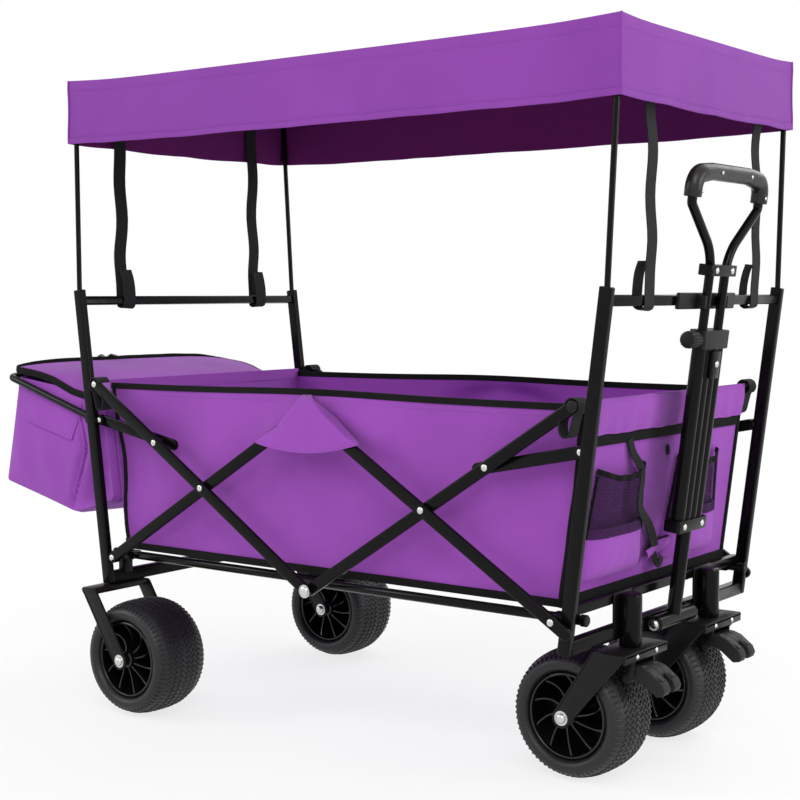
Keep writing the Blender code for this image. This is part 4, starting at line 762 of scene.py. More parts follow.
def dress_post(end_name, end, side_name, side, body):
    y = side * FRAME_HALF_WIDTH
    foot = Vector((end * POST_FOOT[0], y, POST_FOOT[1]))
    top = Vector((end * POST_TOP[0], y, POST_TOP[1]))
    along = (top - foot).normalized()
    path = [foot + along * 0.0012, foot + along * 0.0022, top - along * 0.0012, top - along * 0.0002]
    tube = sweep(path, rounded_box(POST_HALF_WIDTH, 0.009, 0.0028, 5), (1, 0, 0), (0.9, 1, 1, 0.86))
    if end > 0:
        lug_layer = INNER_LAYER
        bracket_x = post_x(LINK_PIVOT.y)
    else:
        lug_layer = (INNER_LAYER[0] - 0.0057, INNER_LAYER[0] - 0.0003)
        bracket_x = BAG_PIVOT[0]
    lug = stadium((end * FOOT.x, FOOT.y), (end * post_x(FOOT.y), FOOT.y), BAR_HALF)
    lug = plate(lug, *layer(side, *lug_layer), 0.0012)
    bracket = stadium((end * LINK_PIVOT.x, LINK_PIVOT.y), (end * bracket_x, LINK_PIVOT.y), BAR_HALF)
    bracket = plate(bracket, *layer(side, *BRACKET_LAYER), 0.0009)
    node = end_name + "Post" + side_name
    make(node + "Tube", together(tube, lug, bracket), STEEL, body, (node,))

    rod_foot = Vector((end * POST_TOP[0], y, POST_TOP[1] - 0.0010))
    rod_top = Vector((end * 0.4885, side * 0.249, CANOPY_TOP_Z - 0.0042))
    node = end_name + "Rod" + side_name
    make(node + "Tube", sweep([rod_foot, rod_top], circle(0.004, 16)), STEEL, body, (node,), angle=50)
    heads = [((end * LINK_PIVOT.x, side * (BRACKET_LAYER[1] + RIVET_LIFT), LINK_PIVOT.y), (0, side, 0))]
    rivets(end_name + "Bracket" + side_name + "Rivet", heads, body, 0.0047, 0.0022)


def cross_beam(x, z, half_length, half_depth, half_height, radius, lean=0.0):
    path = [(x, y, z) for y in (-half_length, -half_length + 0.001, half_length - 0.001, half_length)]
    up = (math.sin(lean), 0, math.cos(lean))
    return sweep(path, rounded_box(half_depth, half_height, radius), up, (0.94, 1, 1, 0.94))


def floor_socket(end):
    """The capped stubs and ears that hold the floor bars at one end."""
    parts = []
    z = FLOOR_BAR_Z
    for side in (-1, 1):
        y = side * FLOOR_BAR_Y[end]
        parts.append(sweep([(end * 0.402, y, z), (end * 0.4325, y, z)], circle(0.0065, 18)))
        cap = [(end * x, y, z) for x in (0.432, 0.4325, 0.4395, 0.441)]
        parts.append(sweep(cap, circle(0.0078, 20), scale=(0.94, 1, 1, 0.8)))
        for turn in (-1, 1):
            low, high = sorted((y + turn * 0.0069, y + turn * 0.0089))
            parts.append(plate(stadium((end * 0.3935, z), (end * 0.4116, z), 0.0065), low, high, 0.0005))
    return parts


def dress_frames():
    for (end_name, end), body in zip(ENDS, ("front_frame", "rear_frame")):
        for side_name, side in SIDES:
            dress_post(end_name, end, side_name, side, body)
        rail = cross_beam(end * post_x(RAIL_Z), RAIL_Z, BEAM_HALF, 0.0065, 0.00675, 0.0018, end * POST_LEAN)
        make(end_name + "RailTube", rail, STEEL, body, (end_name + "TopRail",))

    lower = [cross_beam(post_x(LOWER_BEAM_Z), LOWER_BEAM_Z, BEAM_HALF, 0.008, 0.0095, 0.0022)]
    housing = [(0, 0.071), (0.0125, 0.071), (0.0148, 0.0695), (0.0155, 0.067), (0.0155, 0.002), (0.0145, 0), (0, 0)]
    ear = stadium((HANDLE_FOOT.x, HANDLE_FOOT.z), (0.4217, HANDLE_FOOT.z), 0.0105)
    for side in (-1, 1):
        y = side * CASTER_Y
        lower.append(post_turn(housing, 32, (STEM_X, y, 0.186)))
        lower.append(block((0.4247, y - 0.028, 0.198), (0.4277, y + 0.028, 0.260), 0.0012))
        lower.append(plate(ear, *layer(side, 0.0535, 0.0565), 0.0009))
    pin = [(HANDLE_FOOT.x, y, HANDLE_FOOT.z) for y in (-0.055, 0.055)]
    lower.append(sweep(pin, circle(0.004, 16)))
    make("FrontLowerBeam", together(*lower), STEEL, "front_frame", ("FrontLowerCrossbar",))

    upper = [cross_beam(0.4181, 0.2503, BEAM_HALF, 0.00625, 0.00625, 0.0018)]
    upper += floor_socket(1)
    make("FrontUpperBeam", together(*upper), STEEL, "front_frame", ("FrontUpperCrossbar",))

    back = [cross_beam(-post_x(LOWER_BEAM_Z), LOWER_BEAM_Z, BEAM_HALF, 0.008, 0.0095, 0.0022)]
    back += floor_socket(-1)
    for side in (-1, 1):
        y = side * FLOOR_BAR_Y[-1]
        back.append(block((-0.4241, y - 0.0089, 0.211), (-0.4101, y + 0.0089, FLOOR_BAR_Z), 0.001))
    make("RearLowerBeam", together(*back), STEEL, "rear_frame", ("RearLowerCrossbar",))
    bolts = [dome_bolt((HANDLE_FOOT.x, side * 0.0565, HANDLE_FOOT.z), side, 0.0065, 0.0045, 0.0085) for side in (-1, 1)]
    make("HandleFootBolts", together(*bolts), ZINC, "front_frame")


# Scissors

def dress_scissors():
    for side_name, side in SIDES:
        for end_name, end in ENDS:
            a_layer, b_layer = (OUTER_LAYER, INNER_LAYER) if end > 0 else (INNER_LAYER, OUTER_LAYER)
            out = (0, side, 0)

            def body(part):
                return end_name.lower() + part + side_name.lower()

            def heads(layer_face, *places):
                return [((end * place.x, side * (layer_face + RIVET_LIFT), place.y), out) for place in places]

            node = end_name + "ABar" + side_name
            outline = stadium((end * FOOT.x, FOOT.y), TOP_PIVOT, BAR_HALF, 0.024 if end > 0 else 0)
            make(node + "Plate", plate(outline, *layer(side, *a_layer), 0.0022, 3), STEEL, body("_a_"), (node,))
            held = (FOOT, CROSSING, TOP_PIVOT) if end > 0 else (FOOT,)
            rivets(node + "Rivets", heads(a_layer[1], *held), body("_a_"), 0.0050, 0.0022)

            node = end_name + "BBar" + side_name
            bar = plate(stadium(HUB, (end * UPPER_END.x, UPPER_END.y), BAR_HALF), *layer(side, *b_layer), 0.0022, 3)
            link_end = CROSSING + (UPPER_END - HUB).normalized() * LINK_ALONG
            boss = [(end * link_end.x, side * y, link_end.y) for y in (LINK_LAYER[1] + 0.0003, b_layer[0])]
            make(node + "Plate", together(bar, sweep(boss, circle(0.006, 16))), STEEL, body("_b_"), (node,))
            face = side * (b_layer[1] + RIVET_LIFT)
            if end > 0:
                cap = dome_bolt((UPPER_END.x, face, UPPER_END.y), side, 0.0078, 0.0020)
                make(node + "EndCap", cap, PLASTIC, body("_b_"))
                held = (link_end,)
            else:
                hub = dome_bolt((0, face, HUB.y), side, 0.0078, 0.0048, 0.0095)
                make("HubBolt" + side_name, hub, ZINC, body("_b_"))
                held = (link_end, UPPER_END, CROSSING)
            rivets(node + "Rivets", heads(b_layer[1], *held), body("_b_"), 0.0050, 0.0022)

            node = end_name + "Link" + side_name
            outline = stadium((end * LINK_PIVOT.x, LINK_PIVOT.y), (end * link_end.x, link_end.y), BAR_HALF, 0, 0.020)
            make(node + "Plate", plate(outline, *layer(side, *LINK_LAYER), 0.0016), STEEL, body("_link_"), (node,))

            node = end_name + "FloorBar" + side_name
            y = side * FLOOR_BAR_Y[end]
            path = [(end * x, y, FLOOR_BAR_Z) for x in (0.398, 0.3965, -0.0335, -0.035)]
            bar = sweep(path, circle(0.0065, 20), scale=(0.85, 1, 1, 0.85))
            make(node + "Tube", bar, STEEL, body("_floor_"), (node,))


# Wheels

def tread_radius(y):
    """The tyre's height over the axle under its lugs, at a distance from its middle."""
    share = min(abs(y) / 0.0508, 1.0)
    return WHEEL_RADIUS - 0.0014 - 0.0125 * share ** 3.2


def tyre_shape():
    half = WHEEL_WIDTH / 2
    rows = [(0.0600, -0.0418), (0.0632, -0.0482), (0.0665, -0.0502), (0.0705, -0.0507)]
    crown = [(tread_radius(y), y) for y in np.linspace(-0.0497, 0.0497, 21)]
    profile = rows + crown + [(r, -y) for r, y in reversed(rows)]
    body = lathe(profile, 96)
    pitch = 2 * math.pi / LUGS_ROUND
    segment = []
    for shift, y_range in ((0.0, (-0.034, -0.0015)), (0.5, (0.0015, 0.034))):
        path = []
        for step in range(7):
            y = y_range[0] + (y_range[1] - y_range[0]) * step / 6
            turn = pitch * (shift + 0.36 * (1 if step % 2 else -1) * (0.5 if step in (0, 6) else 1))
            r = tread_radius(y) + 0.0002
            path.append((r * math.cos(turn), y, r * math.sin(turn)))
        bar = [(-0.0013, -0.0006), (0.0013, -0.0006), (0.0008, 0.00115), (-0.0008, 0.00115)]
        segment.append(sweep(path, bar, (1, 0, 0)))
    for side in (-1, 1):
        path = []
        for step in range(6):
            share = step / 5
            y = side * (0.0385 + 0.0117 * math.sin(share * math.pi / 2))
            r = tread_radius(y) if share < 0.5 else tread_radius(0.0485) - (share - 0.5) * 0.019
            path.append((r, y, 0))
        segment.append(
            sweep(path, circle(0.00135, 8), (0, 0, 1), (0.55, 1, 1.15, 1.15, 0.9, 0.5))
        )
    lugs = round_the_axle(together(*segment), LUGS_ROUND, RUBBER)
    return body, lugs


def rim_shape():
    lip = [(0.0561 + 0.0026 * math.cos(t), 0.0425 + 0.0026 * math.sin(t)) for t in np.linspace(-2.6, 1.9, 9)]
    half = [(0.0540, 0.0030), (0.0545, 0.0360), *lip, (0.0596, 0.0420), (0.0596, 0.0)]
    outer = half + [(r, -y) for r, y in reversed(half)]
    barrel = lathe(outer, 64)
    hub = [(0.0054, 0.0455), (0.0105, 0.0455), (0.0125, 0.0440), (0.0132, 0.0300), (0.0150, 0.0060), (0.0150, 0)]
    hub = hub + [(r, -y) for r, y in reversed(hub)]
    web = [(0.0145, 0.0016), (0.0550, 0.0016), (0.0550, -0.0016), (0.0145, -0.0016)]
    rows = []
    for step in range(9):
        share = step / 8
        radius = 0.0125 + 0.0425 * share
        turn = math.radians(20) * share ** 1.5
        depth = 0.0385 - 0.0065 * math.sin(share * math.pi)
        thin = 0.0013 + 0.0005 * abs(2 * share - 1)
        ahead = turn + math.radians(11) * share
        across = Vector((-math.sin(ahead), 0, math.cos(ahead))) * thin
        centre = Vector((radius * math.cos(turn), 0, radius * math.sin(turn)))
        rows.append([tuple(centre + across * a + Vector((0, b * depth, 0))) for a, b in rounded_box(1, 1, 0.3, 2)])
    spokes = round_the_axle(loft(rows, closed=True, caps=True), SPOKES, RIM_PLASTIC)
    return together(barrel, lathe(hub, 32), lathe(web, 48), spokes)


def dress_wheels():
    tyre, lugs = tyre_shape()
    rim = rim_shape()
    for end_name, x, wheel_y in (("Front", FRONT_AXLE_X, CASTER_Y), ("Rear", -REAR_AXLE_X, REAR_WHEEL_Y)):
        for side_name, side in SIDES:
            node = end_name + "Wheel" + side_name
            body = end_name.lower() + "_wheel_" + side_name.lower()
            turned_by = math.radians(7 * (len(node) % 5) + 5)
            place = Matrix.Translation((x, side * wheel_y, WHEEL_RADIUS)) @ Matrix.Rotation(turned_by, 4, "Y")
            make(node + "Rubber", moved(tyre, place), RUBBER, body, (node + "Tyre",), angle=50)
            make(node + "Lugs", moved(lugs, place), RUBBER, body, angle=25)
            make(node + "Spokes", moved(rim, place), RIM_PLASTIC, body, (node + "Rim",))


def fork_outline(top, axle_x, radius=0.014):
    """A cheek from its two crown corners down to a round end at the axle."""
    axle = Vector((axle_x, WHEEL_RADIUS))
    ends = []
    for corner, turn in ((top[1], 1), (top[0], -1)):
        away = Vector(corner) - axle
        ends.append(math.atan2(away.y, away.x) + turn * math.acos(radius / away.length))
    start, stop = ends
    if stop < start:
        stop += 2 * math.pi
    outline = list(top)
    for step in range(13):
        turn = start + (stop - start) * step / 12
        outline.append((axle.x + radius * math.cos(turn), axle.y + radius * math.sin(turn)))
    return outline


def cheek(top, axle_x, y, turn):
    """One side of a fork, with a flange pressed up along its edge."""
    low, high = sorted((y + turn * CHEEK[0], y + turn * CHEEK[1]))
    flange = fork_outline([(x * 0.995 + axle_x * 0.005, z - 0.0022) for x, z in top], axle_x, 0.0118)
    path = [Vector((x, y + turn * CHEEK[1], z)) for x, z in (flange[1], *flange[2:], flange[0])]
    rib = sweep(path, circle(0.0010, 8), (0, 1, 0))
    return together(plate(fork_outline(top, axle_x), low, high, 0.0010), rib)


def fork(top, axle_x, y):
    """Both cheeks and the axle."""
    axle = [(axle_x, y + end * 0.06, WHEEL_RADIUS) for end in (-1, 1)]
    return [*(cheek(top, axle_x, y, turn) for turn in (-1, 1)), sweep(axle, circle(0.005, 16))]


def axle_bolts(axle_x, y):
    places = [((axle_x, y + turn * (CHEEK[1] + RIVET_LIFT), WHEEL_RADIUS), turn) for turn in (-1, 1)]
    return together(*(dome_bolt(place, turn, 0.0072, 0.0062, 0.0100) for place, turn in places))


def dress_casters():
    ear = stadium(PEDAL_PIVOT, (PEDAL_PIVOT[0], 0.1797), 0.0065)
    for side_name, side in SIDES:
        y = side * CASTER_Y
        body = "caster_" + side_name.lower()
        parts = [
            block((0.412, y - CROWN_HALF, 0.1799), (0.462, y + CROWN_HALF, 0.1857), 0.0016),
            block((0.4575, y - CROWN_HALF, 0.1727), (0.462, y + CROWN_HALF, 0.1852), 0.0014),
            post_turn([(0, 0.064), (0.008, 0.064), (0.008, 0), (0, 0)], 20, (STEM_X, y, 0.182)),
            *fork([(0.462, 0.1852), (0.412, 0.1852)], FRONT_AXLE_X, y),
        ]
        for turn in (-1, 1):
            parts.append(moved(plate(ear, *layer(turn, 0.025, 0.028), 0.0008), Matrix.Translation((0, y, 0))))
        pin = [(PEDAL_PIVOT[0], y + end * 0.027, PEDAL_PIVOT[1]) for end in (-1, 1)]
        parts.append(sweep(pin, circle(0.0025, 12)))
        node = "CasterFork" + side_name
        make(node + "Shell", together(*parts), FORK_STEEL, body, (node,))
        make("CasterBolts" + side_name, axle_bolts(FRONT_AXLE_X, y), ZINC, body)
        heads = [((0.4620 + RIVET_LIFT, y + t * 0.0265, 0.1790), (1, 0, 0)) for t in (-1, 1)]
        rivets("CasterRivets" + side_name, heads, body, 0.0036, 0.0020)
        dress_pedal(side_name, y)


def dress_pedal(side_name, y):
    x, z = PEDAL_PIVOT
    reach = 0.0485
    back = [(-0.0030, 0.0055), (-0.0065, 0.0010), (-0.0155, -0.0125), (-0.0105, -0.0170), (-0.0060, -0.0170)]
    under = [(0.0020, -0.0095), (0.0130, -0.0110)]
    toe = [(reach - 0.0130, -0.0280), (reach - 0.0030, -0.0260), (reach, -0.0190), (reach - 0.0040, -0.0100)]
    crown = [(0.0260, 0.0040), (0.0150, 0.0075), (0.0040, 0.0075)]
    whole = [(x + a, z + b) for a, b in back + under + toe + crown]
    short_toe = [(0.0270, -0.0225), (0.0320, -0.0210), (0.0325, -0.0010)]
    middle = [(x + a, z + b) for a, b in back + under + short_toe + crown]
    parts = [
        plate(whole, y - 0.0245, y - 0.0060, 0.0014, 3),
        plate(whole, y + 0.0060, y + 0.0245, 0.0014, 3),
        plate(middle, y - 0.0066, y + 0.0066, 0.0008),
    ]
    for side in (-1, 1):
        rib = [(x + 0.0125, y + side * 0.015, z + 0.0079), (x + 0.0425, y + side * 0.015, z - 0.0072)]
        parts.append(sweep(rib, rounded_box(0.0055, 0.0010, 0.0008, 3), (0, 0, 1)))
    node = "BrakePedal" + side_name
    make(node + "Step", together(*parts), PEDAL_PLASTIC, "brake_" + side_name.lower(), (node,))


def dress_rear_forks():
    for side_name, side in SIDES:
        y = side * REAR_WHEEL_Y
        crown = block((-0.4335, y - CROWN_HALF, 0.1867), (-0.4035, y + CROWN_HALF, 0.1957), 0.0016)
        shell = together(crown, *fork([(-0.4035, 0.1952), (-0.4335, 0.1952)], -REAR_AXLE_X, y))
        node = "RearFork" + side_name
        make(node + "Shell", shell, FORK_STEEL, "rear_frame", (node,))
        make("RearForkBolts" + side_name, axle_bolts(-REAR_AXLE_X, y), ZINC, "rear_frame")


# Handle

HANDLE = Matrix.Translation(HANDLE_FOOT) @ Matrix.Rotation(HANDLE_LEAN, 4, "Y")


def lobed_outline(steps=9):
    """Four round lobes side by side, the section of the outer sleeve."""
    pitch = 0.017
    radius = 0.0100
    valley = math.acos(pitch / 2 / radius)
    outline = []
    for turn in (1, -1):
        for lobe in range(4):
            start = math.pi - (0 if lobe == 0 else valley)
            stop = 0 if lobe == 3 else valley
            for step in range(steps):
                angle = start + (stop - start) * (step + 0.5) / steps
                across = turn * ((lobe - 1.5) * pitch + radius * math.cos(angle))
                outline.append((across, turn * radius * math.sin(angle)))
    return outline


def clamp_block(low, high, half_width, half_depth, radius=0.005):
    """A rounded collar across the handle, from one distance along it to another."""
    path = [(0, 0, low), (0, 0, low + 0.001), (0, 0, high - 0.001), (0, 0, high)]
    return sweep(path, rounded_box(half_width, half_depth, radius, 6), (1, 0, 0), (0.975, 1, 1, 0.975))


def dress_handle():
    tube = sweep([(0, 0, 0), (0, 0, 0.129)], circle(0.010, 24), (1, 0, 0))
    cross = sweep([(0, -0.053, 0), (0, -0.0525, 0), (0, 0.0525, 0), (0, 0.053, 0)], circle(0.011, 28),
                  scale=(0.93, 1, 1, 0.93))
    sleeve = sweep([(0, 0, SLEEVE[0] - 0.001), (0, 0, SLEEVE[1])], lobed_outline(), (1, 0, 0))
    lock = block((0.004, -0.012, SLEEVE[1] - 0.040), (0.016, 0.012, SLEEVE[1] - 0.002), 0.0022)
    lower = together(tube, cross, sleeve, clamp_block(0.127, 0.1435, 0.043, 0.0125), lock)
    make("HandleSleeve", moved(lower, HANDLE), STEEL, "handle", ("HandleLowerTube",), angle=40)
    collar = clamp_block(COLLAR[0], COLLAR[1], 0.0385, 0.0125)
    make("HandleCollarShell", moved(collar, HANDLE), PLASTIC, "handle", ("HandleCollar",))
    heads = []
    for x, y, s in ((0.0126, -0.026, 0.135), (0.0126, 0.026, 0.135), (0.0161, 0, SLEEVE[1] - 0.020)):
        way = HANDLE.to_3x3() @ Vector((1, 0, 0))
        heads.append((HANDLE @ Vector((x, y, s)), way))
    rivets("HandleRivets", heads, "handle", 0.0046, 0.0024)

    middle = (COLLAR[0] + COLLAR[1]) / 2
    knob = [(0, 0.0), (0.0105, 0.0), (0.0112, 0.0010), (0.0107, 0.0040), (0.0107, 0.0250), (0.0100, 0.0275),
            (0.0070, 0.0285), (0, 0.0285)]
    rib = sweep([(0.0104, 0.0015, 0), (0.0104, 0.0030, 0), (0.0104, 0.0250, 0), (0.0101, 0.0272, 0)], circle(0.0014, 8),
                (1, 0, 0), (0.5, 1, 1, 0.4))
    knob = together(lathe(knob, 40, ring=False), round_the_axle(rib, 18, PLASTIC))
    knob = (knob[0] * (1, -1, 1), knob[1])
    place = HANDLE @ Matrix.Translation((0, -0.0388, middle))
    make("HandleKnobRibbed", moved(knob, place), PLASTIC, "lock_knob", ("HandleLockKnob",))

    arms = []
    for side in (-1, 1):
        way = [(0, side * 0.0235, 0.165), (0, side * 0.0235, 0.505), (0, side * 0.102, 0.570),
               (0, side * 0.102, 0.5785)]
        arms.append(sweep(bent(way, (0.062, 0.0078), 14), circle(0.00635, 20), (1, 0, 0)))
    clamp = clamp_block(UPPER_CLAMP_AT - 0.0075, UPPER_CLAMP_AT + 0.0075, 0.040, 0.0105, 0.0045)
    make(
        "HandleLoopTube", moved(together(*arms, clamp), HANDLE), STEEL, "handle_slide", ("HandleLoop",), angle=40
    )
    way = HANDLE.to_3x3() @ Vector((1, 0, 0))
    heads = [(HANDLE @ Vector((0.0106, side * 0.0235, UPPER_CLAMP_AT)), way) for side in (-1, 1)]
    rivets("HandleClampRivets", heads, "handle_slide", 0.0044, 0.0022)

    way = [(0, -0.102, 0.578), (0, -0.102, 0.607), (0, -0.055, 0.613), (0, 0.055, 0.613), (0, 0.102, 0.607),
           (0, 0.102, 0.578)]
    path = bent(way, (0.020, 0.030, 0.030, 0.020), 10)
    path.insert(1, path[0] + Vector((0, 0, 0.0012)))
    path.insert(-1, path[-1] + Vector((0, 0, 0.0012)))
    scale = []
    for point in path:
        shoulder = math.exp(-((abs(point.y) - 0.080) / 0.020) ** 2)
        scale.append(0.95 + 0.13 * shoulder)
    scale[0] = scale[-1] = 0.90
    grip = sweep(path, circle(0.0118, 28), (1, 0, 0), scale)
    make("HandleGripMoulded", moved(grip, HANDLE), GRIP, "handle_slide", ("HandleGrip",), angle=50)
    screws = []
    for y, s in ((-0.098, 0.586), (-0.046, 0.6125), (0.046, 0.6125), (0.098, 0.586)):
        screws.append((HANDLE @ Vector((0.0118, y, s)), HANDLE.to_3x3() @ Vector((1, 0, 0))))
    rivets("HandleGripScrews", screws, "handle_slide", 0.0026, 0.0012)


def dress_clip():
    place = Matrix.Translation((post_x(RAIL_Z), 0, RAIL_Z)) @ Matrix.Rotation(POST_LEAN, 4, "Y")
    parts = [block((0.0068, -0.085, -0.011), (0.0133, 0.085, 0.011), 0.0018)]
    for side in (-1, 1):
        low, high = layer(side, 0.03085, 0.03585)
        parts.append(block((0.009, low, -0.009), (0.0268, high, 0.009), 0.0012))
    make("HandleClipShell", moved(together(*parts), place), PLASTIC, "front_frame", ("HandleClip",))


# Cloth: soft surfaces laid out over two parameters

def surface(rows_count, columns, where):
    """A sheet of quads through where(u, v), with u and v from 0 to 1."""
    rows = []
    for i in range(rows_count + 1):
        rows.append([where(j / columns, i / rows_count) for j in range(columns + 1)])
    return loft(rows)


def area_of(shape):
    points, faces = shape
    points = np.asarray(points, float)
    total = 0.0
    for face in faces:
        a, b, c = points[face[0]], points[face[1]], points[face[2]]
        total += np.linalg.norm(np.cross(b - a, c - a)) / 2
        if len(face) > 3:
            total += np.linalg.norm(np.cross(c - a, points[face[3]] - a)) / 2
    return float(total)


def strip(path, width, thickness, up, wave=0.0, seed=0.0):
    """A tape along a path, lying across the given direction."""
    path = [Vector(point) for point in path]
    if wave:
        path = [p + Vector(up) * wave * ripple(p.x, p.y, p.z, 0.03, seed) for p in path]
    half = thickness / 2
    outline = [(-half, -width / 2), (half, -width / 2), (half, width / 2), (-half, width / 2)]
    return sweep(path, outline, up)


CANOPY_SAG = 0.0045
RIM_LENGTH = CANOPY_HALF_LENGTH - 0.0015
RIM_WIDTH = CANOPY_HALF_WIDTH - 0.0015


def canopy_point(s, t):
    """A point of the canopy's flat top, s and t from -1 to 1 along its length and width."""
    x = s * RIM_LENGTH
    y = t * RIM_WIDTH
    near_edge = max(abs(s), abs(t))
    edge_sag = CANOPY_SAG * (1 - max(min(abs(s), 1), 0) ** 6) * abs(t) ** 8
    edge_sag += CANOPY_SAG * 0.5 * (1 - abs(t) ** 6) * abs(s) ** 8
    middle_sag = 0.0065 * (1 - s ** 2) * (1 - t ** 2)
    fold = 0.0007 * ripple(x, y * 1.4, 0, 0.12, 3.0)
    pull = 0.0012 * math.exp(-((1 - abs(s)) ** 2 + (1 - abs(t)) ** 2) / 0.02)
    return (x, y, CANOPY_TOP_Z - 0.0012 - edge_sag - middle_sag + fold * (1 - near_edge ** 4) + pull)


def canopy_shape():
    columns, rows = 84, 46
    top = []
    for j in range(rows + 1):
        t = -1 + 2 * j / rows
        top.append([canopy_point(-1 + 2 * i / columns, t) for i in range(columns + 1)])
    top_shape = loft(top)
    rim = [top[0][i] for i in range(columns)]
    rim += [top[j][columns] for j in range(rows)]
    rim += [top[rows][columns - i] for i in range(columns)]
    rim += [top[rows - j][0] for j in range(rows)]
    drop_rows = []
    depth = CANOPY_TOP_Z - CANOPY_BOTTOM_Z
    steps = 12
    for step in range(steps + 1):
        share = (step / steps) ** 1.1
        row = []
        for x, y, z in rim:
            corner = math.exp(-(((CANOPY_HALF_LENGTH - abs(x)) ** 2 + (CANOPY_HALF_WIDTH - abs(y)) ** 2) / 0.0009))
            swell = 0.0016 * ripple(x, y, 0.1 * share, 0.085, 7.0) + 0.0012 * ripple(x, y, 0, 0.030, 1.0)
            belly = (1 - corner) * swell * share
            out_x = math.copysign(1, x) if abs(abs(x) - RIM_LENGTH) < 1e-6 else 0
            out_y = math.copysign(1, y) if abs(abs(y) - RIM_WIDTH) < 1e-6 else 0
            if out_x and out_y:
                out_x *= 0.7
                out_y *= 0.7
            pinch = -0.0014 * corner * math.sin(math.pi * min(share * 1.2, 1))
            roll = 0.0012 * min(share * 8, 1)
            move = roll + belly + pinch
            hang = depth - 0.0012 - (CANOPY_TOP_Z - 0.0012 - z) * 0.35
            end_drop = 0.0030 * math.sin(2.4 * math.pi * (abs(y) / CANOPY_HALF_WIDTH)) if out_x and not out_y else 0
            wave = 0.0012 * ripple(x, y, 0, 0.07, 5.0)
            z_here = z - hang * share - (wave + end_drop * 0.4) * share ** 2 * (1 - corner)
            row.append((x + out_x * move, y + out_y * move, z_here))
        drop_rows.append(row)
    return top_shape, loft(drop_rows, closed=True), drop_rows


def outside(row, out, up):
    """A row of the valance moved outward and upward."""
    return [Vector(p) + Vector((math.copysign(out, p[0]), math.copysign(out, p[1]), up)) for p in row]


def dress_canopy():
    top, valance, rows = canopy_shape()
    body = "front_frame"
    # The canopy's inner face is the dark plum, which is painted shade.
    # The canopy, its hem and its seams take the purple painted darker, as painted shade.
    sheet = make("CanopyCloth", together(top, valance), CANOPY_PAINTED_SHADE, body, ("Canopy",), 60, 0.0014, -1, inner=UNDERSIDE_PAINTED_SHADE)
    lowest = rows[-1]
    hem = sweep(outside(lowest, 0.0004, 0.0042), rounded_box(0.0009, 0.0046, 0.0008, 2), (0, 0, 1), closed=True)
    hem = make("CanopyHem", hem, CANOPY_PAINTED_SHADE, body, angle=60)
    seams = []
    for sx in (-1, 1):
        for sy in (-1, 1):
            corner = min(range(len(lowest)), key=lambda i: -(lowest[i][0] * sx + lowest[i][1] * sy))
            path = [Vector(row[corner]) + Vector((sx * 0.0006, sy * 0.0006, 0)) for row in rows]
            seams.append(sweep(path, circle(0.0014, 8), (sx, -sy, 0)))
    seam = make("CanopyCornerSeams", together(*seams), CANOPY_PAINTED_SHADE, body, angle=80)
    loops = [outside(lowest, 0.0018, 0.0088), outside(rows[2], 0.0012, -0.001)]
    thread = stitches("CanopyStitches", loops, body)
    top_area = area_of(top) + area_of(valance)
    for piece in (sheet, hem, seam, thread):
        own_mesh(piece)


def wall_x(end, z):
    return end * (post_x(z) - (FRONT_INSET if end > 0 else REAR_INSET))


def fold_with_tub(*pieces):
    for piece in pieces:
        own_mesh(piece)


def flap_pull(x, z):
    """How far the flap draws the side's cloth out along its two folds."""
    pull = 0.0
    for start, end, reach in ((Vector((0.018, 0.506)), Vector((0.098, 0.452)), 0.0195),
                              (Vector((-0.004, 0.504)), Vector((-0.075, 0.452)), 0.014)):
        along = end - start
        share = min(max((Vector((x, z)) - start).dot(along) / along.length_squared, 0), 1)
        away = (Vector((x, z)) - start - along * share).length
        pull = max(pull, reach * math.exp(-(away / 0.030) ** 2))
    return pull * min(max((0.5045 - z) / 0.022, 0), 1) ** 0.8


def tub_side_y(x, z, share):
    """How far the side's cloth is from the middle: it hangs from its hem and bellies a little."""
    hang = math.sin(math.pi * share)
    wrinkle = 0.0042 * ripple(x * 1.0 + z * 0.6, 0, z * 0.35, 0.065, 2.0) * hang
    drag = 0.0052 * ripple(x - z * 1.2, 0, z * 0.2, 0.13, 9.0) * hang
    fine = 0.0013 * ripple(x * 1.2 + z, 0, z * 1.5, 0.022, 5.0) * hang
    corner = 0.0034 * math.sin(26 * (abs(x) * 0.8 - z)) * math.exp(-((0.41 - abs(x)) / 0.09) ** 2) * hang
    return SIDE_Y - 0.0012 - 0.0030 * hang + wrinkle + drag + fine + corner + flap_pull(x, z)


